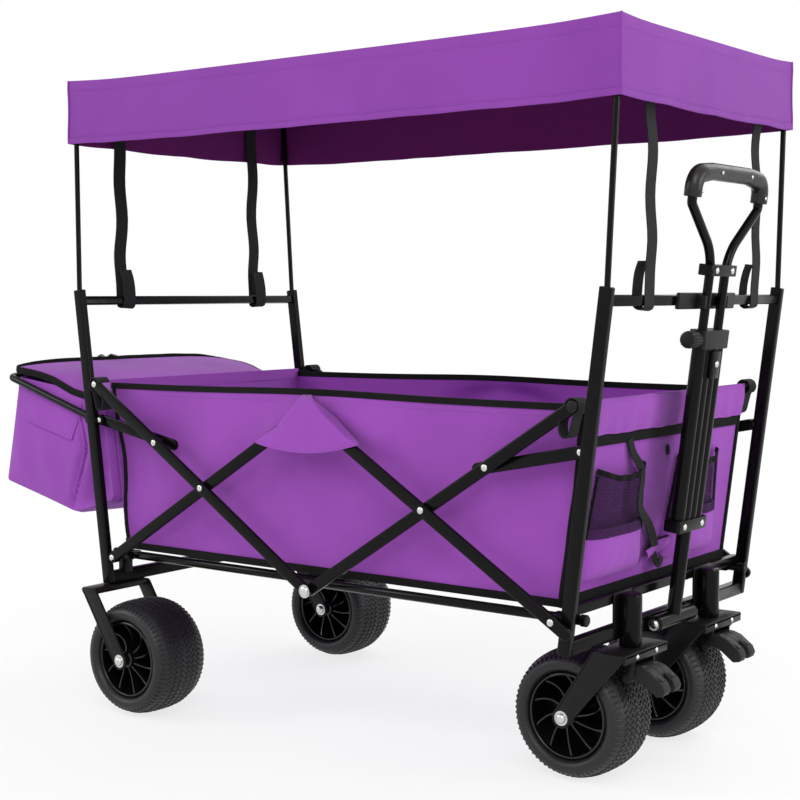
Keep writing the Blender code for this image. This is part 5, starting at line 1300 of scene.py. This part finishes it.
def dress_tub_side(side_name, side):
    def where(u, v):
        z = TUB_BOTTOM_Z + (TUB_TOP_Z - TUB_BOTTOM_Z) * v
        rear = wall_x(-1, z) + 0.0006
        front = wall_x(1, z) - 0.0006
        x = rear + (front - rear) * u
        raised = 0.0042 * math.exp(-((x + 0.02) / 0.17) ** 2) * v ** 3
        return (x, side * tub_side_y(x, z, v), z + raised)

    body = "front_frame"
    panel = surface(34, 120, where)
    # The side's inner face gets the lighter purple, which is painted light.
    cloth = make("TubSide" + side_name, panel, PURPLE, body, ("TubCloth",), 60, wall=PANEL_WALL, inner=INSIDE_PAINTED_LIGHT)
    top = [Vector(where(i / 90, 1)) + Vector((0, 0, -0.0034)) for i in range(91)]
    hem = strip(top, 0.0090, 0.0046, (0, 0, 1))
    bottom = [Vector(where(i / 60, 0)) + Vector((0, 0, 0.0055)) for i in range(61)]
    edge = strip(bottom, 0.0110, 0.0040, (0, 0, 1))
    ends = []
    for u in (0.006, 0.994):
        ends.append(sweep([Vector(where(u, i / 20)) + Vector((0, side * 0.0016, 0)) for i in range(21)],
                          rounded_box(0.0018, 0.0034, 0.001, 2), (1, 0, 0)))
    binding = make("TubBinding" + side_name, together(hem, edge, *ends), BINDING, body, angle=50)
    rows = []
    for v in (0.938, 0.055):
        rows.append([Vector(where(i / 160, v)) + Vector((0, side * 0.0014, 0)) for i in range(2, 159)])
    thread = stitches("TubStitches" + side_name, rows, body)
    flap, flap_area = dress_flap(side_name, side)
    min(area_of(panel), 0.290 * 0.868)
    fold_with_tub(cloth, binding, thread)


FLAP_OUT = 0.2768
FLAP_SHELF = 0.16
# The flap's rear and front folds, from the hem down: x, z and how far the cloth turns back there.
REAR_FOLD = ((-0.0020, 0.5082, 0.010), (-0.0206, 0.4912, 0.006), (-0.0459, 0.4660, 0.003), (-0.0861, 0.4402, 0.001))
FRONT_FOLD = ((0.0150, 0.5082, 0.012), (0.0405, 0.4850, 0.022), (0.0790, 0.4575, 0.013), (0.0994, 0.4470, 0.003))


def along_fold(fold, share):
    place = min(max(share, 0), 0.9999) * (len(fold) - 1)
    index = int(place)
    part = place - index
    return [a + (b - a) * part for a, b in zip(fold[index], fold[index + 1])]


def dress_flap(side_name, side):
    """The side's cloth drawn out over the top pivot and hanging outside the bars."""

    def where(u, v):
        across = 2 * u - 1
        drop = min(max((v - FLAP_SHELF) / (1 - FLAP_SHELF), 0), 1)
        out = math.sin(min(v / FLAP_SHELF, 1) * math.pi / 2)
        rear = along_fold(REAR_FOLD, drop)
        front = along_fold(FRONT_FOLD, drop)
        face = min(max((across / 0.8 + 1) / 2, 0), 1)
        turned = max(abs(across) - 0.8, 0) / 0.2
        x = rear[0] + (front[0] - rear[0]) * face - 0.034 * (1 - out)
        z = rear[1] + (front[1] - rear[1]) * face - 0.0125 * drop ** 1.6 * 4 * face * (1 - face)
        z += 0.0010 * (1 - out)
        back = (rear if across < 0 else front)[2]
        y = 0.2310 + (FLAP_OUT - 0.2310) * out
        y -= 0.0016 * (abs(across) / 0.8) ** 6 if abs(across) < 0.8 else 0.0016
        y -= back * turned * out
        y += 0.0016 * math.exp(-((face - 0.80) / 0.10) ** 2) * drop
        y += 0.0009 * ripple(x, 0, z, 0.035, 4.0) * drop
        z += 0.0012 * turned * drop - 0.0060 * turned ** 1.5 * (1 - drop) ** 3
        x += math.copysign(0.0014, across) * turned * drop
        return (x, side * y, z)

    panel = surface(40, 60, where)
    flap = make("TubFlap" + side_name, panel, PURPLE, "front_frame", angle=70, wall=CLOTH_WALL)
    edge = [Vector(where(0.12 + 0.76 * i / 48, 1)) + Vector((0, side * 0.0009, 0.0034)) for i in range(49)]
    thread = stitches("FlapStitches" + side_name, [edge], "front_frame", 0.0048, 0.0030)
    fold_with_tub(flap, thread)
    return flap, min(area_of(panel), 0.130 * 0.215)


def dress_floor():
    def where(u, v):
        front = wall_x(1, TUB_BOTTOM_Z) - 0.002
        rear = wall_x(-1, TUB_BOTTOM_Z) + 0.002
        x = rear + (front - rear) * u
        y = -0.2255 + 0.451 * v
        cushion = 0.0006 * ripple(x, y, 0, 0.09, 6.0) * math.sin(math.pi * u) * math.sin(math.pi * v)
        return (x, y, TUB_BOTTOM_Z + 0.0017 + cushion)

    panel = surface(40, 70, where)
    floor = make("TubFloorCloth", panel, PURPLE, "front_frame", angle=60, wall=PANEL_WALL)
    creases = []
    for x in (-0.2, 0.0, 0.2):
        creases.append([Vector((x, -0.222 + 0.444 * i / 60, TUB_BOTTOM_Z + 0.0031)) for i in range(61)])
    thread = stitches("FloorStitches", creases, "front_frame")
    min(area_of(panel), 0.374)
    fold_with_tub(floor, thread)


# End walls, laid out on their own lean: outward, across, up

def wall_frame(end):
    place = Matrix.Translation((wall_x(end, TUB_BOTTOM_Z), 0, TUB_BOTTOM_Z)) @ Matrix.Rotation(end * POST_LEAN, 4, "Y")
    if end < 0:
        place = place @ Matrix.Diagonal((-1, 1, 1, 1))
    return place


WALL_HEIGHT = 0.2700
POCKETS = ((-0.129, 0.0), (0.097, 5.0))
POCKET_TOP = 0.1770
NET_BOTTOM = 0.1010


def wall_sheet(end, name, node, seed):
    place = wall_frame(end)

    def where(u, v):
        y = TUB_HALF * (2 * u - 1)
        out = 0.0012 * ripple(0.3 * u, v * 0.2, seed, 0.06, seed) * math.sin(math.pi * u)
        return place @ Vector((out, y, WALL_HEIGHT * v + 0.0004))

    panel = surface(30, 48, lambda u, v: tuple(where(u, v)))
    body = "front_frame" if end > 0 else "rear_frame"
    cloth = make(name, panel, PURPLE, body, (node,), 60, wall=PANEL_WALL)
    return cloth, panel, place, body


def pocket_surface(centre, low, high, place, seed, gather=0.0, lift=0.0):
    """A pocket's bulging front between two heights on the wall."""
    bottom = 0.0300

    def where(u, v):
        across = 2 * u - 1
        height = low + (high - low) * v
        share = (height - bottom) / (POCKET_TOP - bottom)
        half = 0.0850 - 0.0230 * share
        round_bottom = max(1 - (1 - min(share / 0.16, 1)) ** 2, 0) ** 0.5
        belly = max(1 - abs(across) ** 3.4, 0) ** 0.5
        out = 0.0018 + (0.0158 * belly - 0.002 * (1 - belly)) * (0.15 + 0.85 * round_bottom) * (1 - 0.15 * share)
        out += 0.0011 * ripple(u * 0.2, share * 0.15, seed, 0.03, seed) * belly
        out += gather * math.sin(across * 15 + seed) * max(share - 0.5, 0) * belly
        y = centre + across * half * (0.92 + 0.08 * round_bottom)
        height -= 0.0120 * (1 - across ** 2) * max(share - 0.55, 0) / 0.45
        return tuple(place @ Vector((max(out, 0.0016) + lift, y, height)))

    return surface(20, 52, where), where


def dress_front_wall():
    cloth, panel, place, body = wall_sheet(1, "FrontWallCloth", "TubFrontWall", 4.0)

    def band(u, v):
        y = -0.2320 + 0.464 * u
        gather = 0.0010 * math.sin(y * 150) * (1 - v) + 0.0008 * ripple(y, v * 0.1, 0, 0.02, 3.0) * (1 - v)
        out = 0.0034 + 0.0024 * math.sin(math.pi * min(1.25 * (1 - v), 1) * 0.8) + gather
        return tuple(place @ Vector((out, y, 0.2240 + 0.0006 * math.sin(y * 60) + 0.0462 * v)))

    upper = surface(10, 110, band)
    over = make("FrontWallBand", upper, PURPLE, body, angle=60, wall=CLOTH_WALL)
    band_rows = [[Vector(band(i / 180, v)) + place.to_3x3() @ Vector((CLOTH_LIFT, 0, 0)) for i in range(181)]
                 for v in (0.10, 0.93)]
    thread = [stitches("FrontWallStitches", band_rows, body)]

    def line(y0, y1, z, out=0.0022, count=40):
        return [place @ Vector((out, y0 + (y1 - y0) * i / count, z)) for i in range(count + 1)]

    up = place.to_3x3() @ Vector((0, 0, 1))
    tapes = [strip(line(-TUB_HALF, TUB_HALF, 0.2165), 0.0150, 0.0020, up)]
    tapes.append(strip(line(-TUB_HALF, TUB_HALF, 0.0085, 0.0016), 0.0145, 0.0050, up))
    for side in (-1, 1):
        corner = [place @ Vector((0.0012, side * 0.2285, WALL_HEIGHT * i / 20)) for i in range(21)]
        tapes.append(sweep(corner, rounded_box(0.0034, 0.0032, 0.0014, 3), (1, 0, 0)))
    nets = []
    lowers = []
    for centre, seed in POCKETS:
        lower, _ = pocket_surface(centre, 0.0300, NET_BOTTOM, place, seed)
        net, net_at = pocket_surface(centre, NET_BOTTOM - 0.0130, POCKET_TOP, place, seed, 0.0042, 0.0020)
        lowers.append(lower)
        nets.append(net)
        away = place.to_3x3() @ Vector((0.0012, 0, 0))
        tapes.append(strip([Vector(net_at(i / 44, 1.0)) + away * 0.3 for i in range(45)], 0.0075, 0.0026, up, 0.0012,
                           seed))
        for u in (0.012, 0.988):
            tapes.append(sweep([Vector(net_at(u, i / 14)) for i in range(14)], rounded_box(0.0010, 0.0018, 0.0006, 2),
                               (1, 0, 0)))
    lower = make("FrontPocketCloth", together(*lowers), PURPLE, body, angle=70, wall=CLOTH_WALL)
    net = make("FrontPocketNet", together(*nets), NET, body, angle=70, wall=0.0007)
    binding = make("FrontWallBinding", together(*tapes), BINDING, body, angle=50)
    seam_rows = []
    for centre, seed in POCKETS:
        _, at = pocket_surface(centre, 0.0300, NET_BOTTOM, place, seed)
        away = place.to_3x3() @ Vector((CLOTH_LIFT, 0, 0))
        seam_rows.append([Vector(at(0.05 + 0.9 * i / 50, 0.86)) + away for i in range(51)])
    thread.append(stitches("FrontPocketStitches", seam_rows, body))

    sag = place.to_3x3() @ Vector((1, 0, 0))
    hung = [(0.0045, -0.1120, 0.2130), (0.0080, -0.1030, 0.1930), (0.0165, -0.0880, 0.1680), (0.0195, -0.0890, 0.1230)]
    hung += [(0.0130, -0.0440, 0.0900), (0.0110, -0.0200, 0.0640), (0.0100, -0.0040, 0.0470)]
    strap_path = smooth_path([place @ Vector(point) for point in hung], 7)
    tape = [(-0.0064, -0.0007), (0.0064, -0.0007), (0.0064, 0.0007), (-0.0064, 0.0007)]
    widths = [1 + 0.35 * math.exp(-((i / (len(strap_path) - 1) - 0.78) / 0.12) ** 2) for i in range(len(strap_path))]
    strap = sweep(strap_path, tape, sag, widths)
    loop_path = []
    for i in range(15):
        turn = math.pi * (0.1 + 1.7 * i / 14)
        loop_path.append(place @ Vector((0.0085 + 0.0040 * math.sin(turn), 0.004 + 0.0085 * math.cos(turn),
                                         0.041 - 0.0120 * math.sin(turn * 0.9))))
    loop = sweep(loop_path, [(-0.0065, -0.0006), (0.0065, -0.0006), (0.0065, 0.0006), (-0.0065, 0.0006)], sag)
    small = []
    for i in range(15):
        turn = math.pi * 2 * i / 14
        small.append(place @ Vector((0.0050 + 0.0012 * math.cos(turn), 0.0010 + 0.0028 * math.sin(turn),
                                     0.1900 - 0.0060 * math.cos(turn))))
    hook = sweep(small, circle(0.0019, 8), sag)

    def tab_at(u, v):
        y = -0.0360 + 0.1020 * u
        top = 0.0520 + 0.0200 * u + 0.0030 * math.sin(u * 5)
        z = top - 0.0185 * v
        out = 0.0050 + 0.0075 * math.sin(math.pi * (0.15 + 0.8 * v)) + 0.0014 * math.sin(u * 14 + v * 3)
        return tuple(place @ Vector((out, y, z)))

    tab_shape = surface(12, 30, tab_at)
    tab = make("FrontWallTab", tab_shape, PURPLE, body, angle=70, wall=CLOTH_WALL)
    tab_edge = strip([Vector(tab_at(i / 30, 0.0)) for i in range(31)], 0.0040, 0.0026, up)
    tab_edge = make("FrontWallTabEdge", tab_edge, BINDING, body, angle=60)
    webbing = make("FrontWallWebbing", together(strap, loop, hook), WEBBING, body, angle=50)

    min(area_of(panel), 0.12366)
    min(area_of(upper), 0.0228)
    min(area_of(tab_shape), 0.00285)
    min(area_of(together(*lowers)), 0.05)
    min(area_of(together(*nets)), 0.074)
    min(area_of(together(strap, loop)) / 2, 0.009)


def dress_rear_wall():
    cloth, panel, place, body = wall_sheet(-1, "RearWallCloth", "TubRearWall", 11.0)
    up = place.to_3x3() @ Vector((0, 0, 1))

    def tape(z, width, thickness):
        path = [place @ Vector((0.0006, TUB_HALF * (i / 15 - 1), z)) for i in range(31)]
        return strip(path, width, thickness, up, 0.0003, z)

    hem = make("RearWallHem", tape(WALL_HEIGHT - 0.0090, 0.018, 0.0044), PURPLE, body, angle=50)
    binding = make("RearWallBinding", tape(0.0085, 0.0145, 0.0050), BINDING, body, angle=50)
    rows = [[place @ Vector((-0.0024, -0.226 + 0.452 * i / 90, WALL_HEIGHT - 0.0165)) for i in range(91)]]
    thread = stitches("RearWallStitches", rows, body)
    min(area_of(panel), 0.12366)


# Straps of webbing from the canopy's ends round the top rails

def dress_strap(end_name, end, side_name, side):
    body = "front_frame" if end > 0 else "rear_frame"
    rail = post_x(RAIL_Z)
    y = side * 0.160
    seed = 3.0 * end + side
    away = 0.0085
    points = [
        (0.4875, 0.9860), (0.4900, 0.965), (0.4850, 0.900), (0.4845, 0.820), (rail + away + 0.002, 0.720),
        (rail + away, RAIL_Z + 0.010), (rail + away - 0.0005, RAIL_Z - 0.007), (rail + 0.003, RAIL_Z - 0.0118),
        (rail - 0.003, RAIL_Z - 0.0118), (rail - away, RAIL_Z - 0.006), (rail - away - 0.0005, RAIL_Z + 0.012),
        (rail - 0.0060, RAIL_Z + 0.034), (rail - 0.0010, RAIL_Z + 0.050),
    ]
    path = smooth_path([(end * x, y, z) for x, z in points], 7)
    waved = []
    for point in path:
        free = min(max((point.z - RAIL_Z - 0.02) / 0.06, 0), 1)
        waved.append(point + Vector((end * 0.0022 * math.sin(point.z * 52 + seed) * free,
                                     0.0015 * math.sin(point.z * 31 + seed) * free, 0)))
    half, thick = 0.0125, 0.0007
    outline = [(-half, -thick), (-half * 0.5, -thick * 1.15), (half * 0.5, -thick * 1.15), (half, -thick)]
    outline += [(half, thick), (half * 0.5, thick * 0.85), (-half * 0.5, thick * 0.85), (-half, thick)]
    rows = []
    for index, point in enumerate(waved):
        ahead = (waved[min(index + 1, len(waved) - 1)] - waved[max(index - 1, 0)]).normalized()
        across = Vector((0, 1, 0.06 * math.sin(point.z * 24 + seed)))
        across = (across - ahead * across.dot(ahead)).normalized()
        upward = across.cross(ahead)
        rows.append([tuple(point + across * a + upward * b) for a, b in outline])
    ribbon = loft(rows, closed=True, caps=True)
    node = end_name + "Strap" + side_name
    strap = make(node + "Webbing", ribbon, WEBBING, body, (node,), angle=50)


def dress_corner_loops():
    """Webbing from the tub's corners round the upper ends of the B bars."""
    for side_name, side in SIDES:
        for end_name, end in ENDS:
            tip = UPPER_END
            turns = np.linspace(math.radians(165), math.radians(-75), 13)
            path = [(tip.x + 0.0105 * math.cos(a), tip.y + 0.0105 * math.sin(a)) for a in turns]
            path += [(tip.x - 0.0010, tip.y - 0.0230), (tip.x - 0.0050, tip.y - 0.0370),
                     (tip.x - 0.0120, tip.y - 0.0400)]
            path += [(tip.x - 0.0180, tip.y - 0.0340), (tip.x - 0.0190, tip.y - 0.0230),
                     (tip.x - 0.0165, tip.y - 0.0160)]
            low, high = (0.2415, 0.2640) if end > 0 else (0.2480, 0.2725)
            middle = side * (low + high) / 2
            curve = smooth_path([(end * x, middle, z) for x, z in path], 3)
            wide = (high - low) / 2
            tape = [(-wide, -0.0007), (wide, -0.0007), (wide, 0.0007), (-wide, 0.0007)]
            rows = []
            for index, point in enumerate(curve):
                ahead = (curve[min(index + 1, len(curve) - 1)] - curve[max(index - 1, 0)]).normalized()
                upward = Vector((0, 1, 0)).cross(ahead)
                rows.append([tuple(point + Vector((0, a, 0)) + upward * b) for a, b in tape])
            body = end_name.lower() + "_b_" + side_name.lower()
            name = end_name + "CornerLoop" + side_name
            loop = make(name, loft(rows, closed=True, caps=True), WEBBING, body, angle=50)
            length = sum((b - a).length for a, b in zip(curve, curve[1:]))


# Storage bag

LID_INNER = Vector((0.4415, 0.5010))
LID_OUTER = Vector((0.6600, 0.5275))
BAG_HALF = 0.2400


def bag_profile():
    """The bag's side from the lid's inner edge, down round its bottom and up to the lid's outer edge."""
    corners = [(0.4425, 0.4945), (0.4215, 0.325), (0.515, 0.2995), (0.6865, 0.3412), (0.6500, 0.5190)]
    radii = (0.014, 0.022, 0.005)
    flat = [(x, 0, z) for x, z in corners]
    path = bent(flat, radii, 6)
    filled = []
    for a, b in zip(path, path[1:]):
        count = max(int((b - a).length / 0.010), 1)
        filled.extend(a.lerp(b, i / count) for i in range(count))
    return filled + [path[-1]]


def bag_crease_x(z):
    """Where the pinched fold runs down the bag's side."""
    return 0.4857 + ((0.404 - z) * 0.366 if z < 0.404 else (z - 0.404) * 0.178)


def bag_side(x, z):
    """How far the bag's side is from the middle: it swells, folds at its crease and lies inside the tube."""
    up = min(max((z - 0.30) / 0.21, 0), 1)
    swell = 0.0058 * math.sin(math.pi * up ** 0.75)
    past = x - bag_crease_x(z)
    pinch = -0.0100 * math.exp(-(past / 0.0070) ** 2) * min(max((0.475 - z) / 0.06, 0), 1)
    inner = min(max(-past / 0.050, 0), 1)
    soft = 0.0030 * ripple(x, 0, z, 0.055, 8.0) + 0.0020 * math.sin(95 * (x - 0.25 * z)) * (1 - up)
    out = BAG_HALF + swell + pinch - 0.026 * inner * inner * (3 - 2 * inner) + soft
    under_tube = math.exp(-((z - 0.4566 - (x - 0.463) * 0.3003) / 0.017) ** 2)
    return out - max(out - 0.2405, 0) * under_tube


def dress_bag():
    away = Vector((-(0.6675 - 0.463), 0, 0.518 - 0.4566)).normalized()
    way = [
        Vector((-0.463, -0.2465, 0.4566)) - away * 0.006,
        Vector((-0.6675, -0.2465, 0.518)),
        Vector((-0.6675, 0.2465, 0.518)),
        Vector((-0.463, 0.2465, 0.4566)) - away * 0.006,
    ]
    tube = sweep(bent(way, (0.014, 0.014), 10), circle(0.0056, 18), (0, 0, 1))
    make("BagTube", tube, STEEL, "bag_frame", ("BagFrame",), angle=50)

    profile = bag_profile()
    centre = Vector((0.550, 0, 0.420))
    rows = []
    for span in np.linspace(-1, 1, 41):
        y = span * (BAG_HALF - 0.001)
        inset = 0.0030 * max(abs(span) - 0.965, 0) / 0.035
        sag = 0.0040 * (1 - span ** 2)
        row = []
        for p in profile:
            low = min(max((0.36 - p.z) / 0.06, 0), 1)
            point = p + (centre - p).normalized() * inset
            dent = 0.0022 * ripple(p.x, y, p.z, 0.07, 12.0) * (1 - span ** 4)
            row.append((-(point.x + dent * 0.5), y, point.z - sag * low + dent * 0.4 * low))
        rows.append(row)
    shapes = [loft(rows)]
    for side in (-1, 1):
        edge = [Vector((-x, 0, z)) for x, _, z in rows[0 if side < 0 else -1]]
        loop = edge + [edge[-1].lerp(edge[0], i / 22) for i in range(1, 22)]
        rings = []
        for step in range(31):
            shrink = 1 - (step / 30) ** 1.1
            ring = []
            for p in loop:
                q = centre.lerp(p, shrink)
                held = shrink ** 9
                out = (BAG_HALF - 0.001) * held + bag_side(q.x, q.z) * (1 - held)
                ring.append((-q.x, side * out, q.z))
            rings.append(ring)
        shapes.append(loft(rings, closed=True))
    for side in (-1, 1):
        seam = []
        for i in range(25):
            z = 0.466 - 0.146 * i / 24
            x = bag_crease_x(z) + 0.0042
            seam.append(Vector((-x, side * (bag_side(x, z) + 0.0004), z)))
        shapes.append(sweep(seam, circle(0.0016, 8), scale=[0.3, 0.7] + [1] * 21 + [0.7, 0.3]))
    whole = together(*shapes)
    bag = make("BagCloth", whole, PURPLE, "bag_frame", ("BagBody",), 65, 0.0020, 0)

    def flap(u, v):
        x = (0.4930 + 0.1370 * u) * (1 - v) + (0.5133 + 0.1106 * u) * v
        z = (0.4790 + 0.0250 * u) * (1 - v) + (0.4187 + 0.0275 * u) * v
        lift = 0.0014 + 0.0016 * v * v + 0.0010 * math.sin(math.pi * u) * v
        return (-x, -(bag_side(x, z) + lift), z)

    pocket_flap = surface(16, 30, flap)
    outward = Vector((0, -0.0009, 0))
    edge_rows = [
        [Vector(flap(0.05 + 0.9 * i / 40, 0.93)) + outward for i in range(41)],
        [Vector(flap(0.04, 0.93 * i / 20)) + outward for i in range(21)],
        [Vector(flap(0.96, 0.93 * i / 20)) + outward for i in range(21)],
    ]
    cover = make("BagPocketFlap", pocket_flap, PURPLE, "bag_frame", angle=65, wall=0.0014)
    thread = stitches("BagStitches", edge_rows, "bag_frame", 0.0045, 0.0030)
    min(area_of(whole), 0.592)
    min(area_of(pocket_flap), 0.0091)
    for piece in (bag, cover, thread):
        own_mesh(piece)
    dress_lid()


# The zip's height over the lid's plane along each side, from the hinge to the outer edge.
ZIP_SIDE = (-0.0020, -0.0075, -0.0105, -0.0085, -0.0030, 0.0030, 0.0058, 0.0066, 0.0066, 0.0060)


def lid_at(s, y, h):
    """A place on the lid: s from the hinge outward, h over its plane."""
    along = (LID_OUTER - LID_INNER).normalized()
    point = LID_INNER + along * s + Vector((-along.y, along.x)) * h
    return Vector((-point.x, y, point.y))


def zip_height(share, t):
    """How high the lid's rim lies: it drops along the sides and rises in the middle of the outer edge."""
    place = min(max(share, 0), 0.9999) * (len(ZIP_SIDE) - 1)
    index = int(place)
    side = ZIP_SIDE[index] + (ZIP_SIDE[index + 1] - ZIP_SIDE[index]) * (place - index)
    middle = 0.0125 * share ** 2 - 0.001
    return side * abs(t) ** 5 + middle * (1 - abs(t) ** 5)


def dress_lid():
    length = (LID_OUTER - LID_INNER).length
    across = [math.sin(math.pi / 2 * w) for w in np.linspace(-1, 1, 57)]
    rows = []
    for share in [0.5 - 0.5 * math.cos(math.pi * w) for w in np.linspace(0.02, 1, 40)]:
        corner = 1 - max(share - 0.955, 0) ** 2 * 9
        s = 0.0006 + (length - 0.0012) * share
        row = []
        for t in across:
            rise = max(1 - abs(t) ** 5, 0) ** 0.5 * max(4 * share ** 0.8 * (1 - share), 0) ** 0.8
            soft = 0.0016 * ripple(s, t * 0.24, 0, 0.07, 2.0) * rise
            row.append(lid_at(s, BAG_HALF * t * corner, zip_height(share, t) + 0.0090 * rise + soft))
        for t in across[-2:0:-2]:
            row.append(lid_at(s, BAG_HALF * t * corner, zip_height(share, t) - 0.0060 * max(1 - abs(t) ** 5, 0) ** 0.5))
        rows.append([tuple(p) for p in row])
    top = make("BagLidCloth", loft(rows, closed=True, caps=True), PURPLE, "bag_lid", ("BagLid",), 60)

    def border(rise, out):
        """Round the rim from the near hinge, past the outer corners, to the far hinge."""
        round_by = 0.012
        places = [(0.004 + (length - round_by - 0.004) * i / 24, -(BAG_HALF + out)) for i in range(25)]
        for i in range(1, 7):
            turn = math.pi / 2 * i / 7
            places.append((length - round_by + (round_by + out) * math.sin(turn),
                           -(BAG_HALF - round_by) - (round_by + out) * math.cos(turn)))
        places += [(length + out, (BAG_HALF - round_by) * (i / 20 - 1)) for i in range(21)]
        whole = places + [(s, -y) for s, y in places[-2::-1]]
        band = []
        for s, y in whole:
            stands = 0.0036 * max((s / length - 0.8) / 0.2, 0) * (1 - min(abs(y) / BAG_HALF, 1) ** 5)
            height = zip_height(s / length, y / BAG_HALF) + rise + stands + 0.0007 * ripple(s, y, 0, 0.04, 6.0)
            band.append(lid_at(s, y, height))
        return band

    piping = sweep(border(-0.0034, 0.0012), rounded_box(0.0020, 0.0058, 0.0018, 3), (0, 0, 1))
    zip_teeth = stitches("BagZipTeeth", [border(-0.0036, 0.0034)], "bag_lid", 0.0026, 0.0014, 0.0020, 0.0012, PLASTIC)
    edge = make("BagLidPiping", piping, BINDING, "bag_lid", angle=60)
    pulls = []
    for y, swing in ((-0.046, 0.0), (-0.022, 0.35)):
        place = Matrix.Translation(lid_at(length + 0.0035, y, zip_height(1, y / BAG_HALF) - 0.0020))
        pulls.append(block((-0.0035, -0.0060, -0.0040), (0.0035, 0.0060, 0.0098), 0.0012, place))
        tab = plate(stadium((0, 0), (0.024, 0), 0.0032), -0.0009, 0.0009, 0.0004)
        turn = Matrix.Rotation(math.radians(-34) + swing, 4, "Z") @ Matrix.Rotation(math.radians(7), 4, "Y")
        hangs = Matrix.Translation((0, 0, 0.0105)) @ turn @ Matrix.Rotation(math.pi / 2, 4, "X")
        pulls.append(moved(tab, place @ hangs))
    make("BagZipPulls", together(*pulls), PLASTIC, "bag_lid")


# Stage

def seen_white(tree, shaded, white, whiteness=None):
    """Shows a surface as white to the camera and in gloss, as far as its whiteness, the rest being its own shading."""
    ray = tree.nodes.new("ShaderNodeLightPath")
    seen = sum_of(tree, "MAXIMUM", ray.outputs["Is Camera Ray"], ray.outputs["Is Glossy Ray"])
    seen = sum_of(tree, "MAXIMUM", seen, ray.outputs["Is Transmission Ray"])
    whitened = tree.nodes.new("ShaderNodeMixShader")
    whitened.inputs[0].default_value = 1.0
    if whiteness:
        tree.links.new(whiteness, whitened.inputs[0])
    choose = tree.nodes.new("ShaderNodeMixShader")
    tree.links.new(seen, choose.inputs[0])
    for mixed, first, second in ((whitened, shaded, white), (choose, shaded, whitened.outputs[0])):
        tree.links.new(first, mixed.inputs[1])
        tree.links.new(second, mixed.inputs[2])
    return choose.outputs[0]


def white_stage():
    floor_look, tree, shader, places = new_look("PaleFloor")
    speckle = noise_of(tree, places.outputs["Object"], 3.0, 3.0)
    tone = ramp_between(tree, speckle, (0.86, 0.86, 0.86), (0.92, 0.92, 0.92))
    tree.links.new(tone, shader.inputs["Base Color"])
    shader.inputs["Roughness"].default_value = 0.7
    white = tree.nodes.new("ShaderNodeEmission")
    surface_out = tree.nodes["Material Output"].inputs["Surface"]
    distance = tree.nodes.new("ShaderNodeVectorMath")
    distance.operation = "LENGTH"
    tree.links.new(places.outputs["Object"], distance.inputs[0])
    whiteness = spread(tree, distance.outputs["Value"], 0.7, 2.2, 0.76, 1.0)
    tree.links.new(seen_white(tree, shader.outputs[0], white.outputs[0], whiteness), surface_out)
    size = 14.0
    mesh = bpy.data.meshes.new("Floor")
    mesh.from_pydata([(-size, -size, 0), (size, -size, 0), (size, size, 0), (-size, size, 0)], [], [(0, 1, 2, 3)])
    mesh.materials.append(floor_look)
    floor = bpy.data.objects.new("Floor", mesh)
    bpy.context.scene.collection.objects.link(floor)

    world = bpy.data.worlds.new("SoftRoom")
    world.use_nodes = True
    bpy.context.scene.world = world
    tree = world.node_tree
    room = tree.nodes["Background"]
    room.inputs["Color"].default_value = (0.97, 0.98, 1.0, 1)
    room.inputs["Strength"].default_value = 0.74
    seen = tree.nodes.new("ShaderNodeBackground")
    seen.inputs["Color"].default_value = (1, 1, 1, 1)
    seen.inputs["Strength"].default_value = 1.0
    tree.links.new(seen_white(tree, room.outputs[0], seen.outputs[0]), tree.nodes["World Output"].inputs["Surface"])
    for name, place, energy, width in (
        ("KeyLight", (2.4, -3.0, 3.2), 74, 2.0),
        ("FillLight", (-3.0, -2.4, 2.4), 46, 1.6),
        ("BackLight", (0.5, 3.2, 3.0), 45, 2.4),
        ("FrontLight", (3.4, 0.8, 1.2), 30, 1.2),
    ):
        light = bpy.data.lights.new(name, "AREA")
        light.energy = energy
        light.size = width
        lamp = bpy.data.objects.new(name, light)
        lamp.location = place
        lamp.rotation_euler = (Vector((0.05, 0, 0.45)) - Vector(place)).to_track_quat("-Z", "Y").to_euler()
        bpy.context.scene.collection.objects.link(lamp)


def place_camera():
    yaw, pitch, roll = (math.radians(a) for a in (36.853, 3.889, -0.157))
    ahead = Vector((-math.sin(yaw) * math.cos(pitch), math.cos(yaw) * math.cos(pitch), -math.sin(pitch)))
    right = ahead.cross(Vector((0, 0, 1))).normalized()
    up = right.cross(ahead)
    turned_right = right * math.cos(roll) + up * math.sin(roll)
    turned_up = up * math.cos(roll) - right * math.sin(roll)
    data = bpy.data.cameras.new("Camera")
    data.sensor_width = 36
    data.lens = 69.36
    camera = bpy.data.objects.new("Camera", data)
    basis = Matrix((turned_right, turned_up, -ahead)).transposed().to_4x4()
    camera.matrix_world = Matrix.Translation((1.4831, -1.9206, 0.6521)) @ basis
    bpy.context.scene.collection.objects.link(camera)
    bpy.context.scene.camera = camera


dress_frames()
dress_scissors()
dress_wheels()
dress_casters()
dress_rear_forks()
dress_handle()
dress_clip()
for name, turn in SIDES:
    dress_tub_side(name, turn)
dress_floor()
dress_front_wall()
dress_rear_wall()
dress_canopy()
for frame_name, way in ENDS:
    for name, turn in SIDES:
        dress_strap(frame_name, way, name, turn)
dress_corner_loops()
dress_bag()
white_stage()
place_camera()
bpy.context.scene.view_settings.view_transform = "Standard"
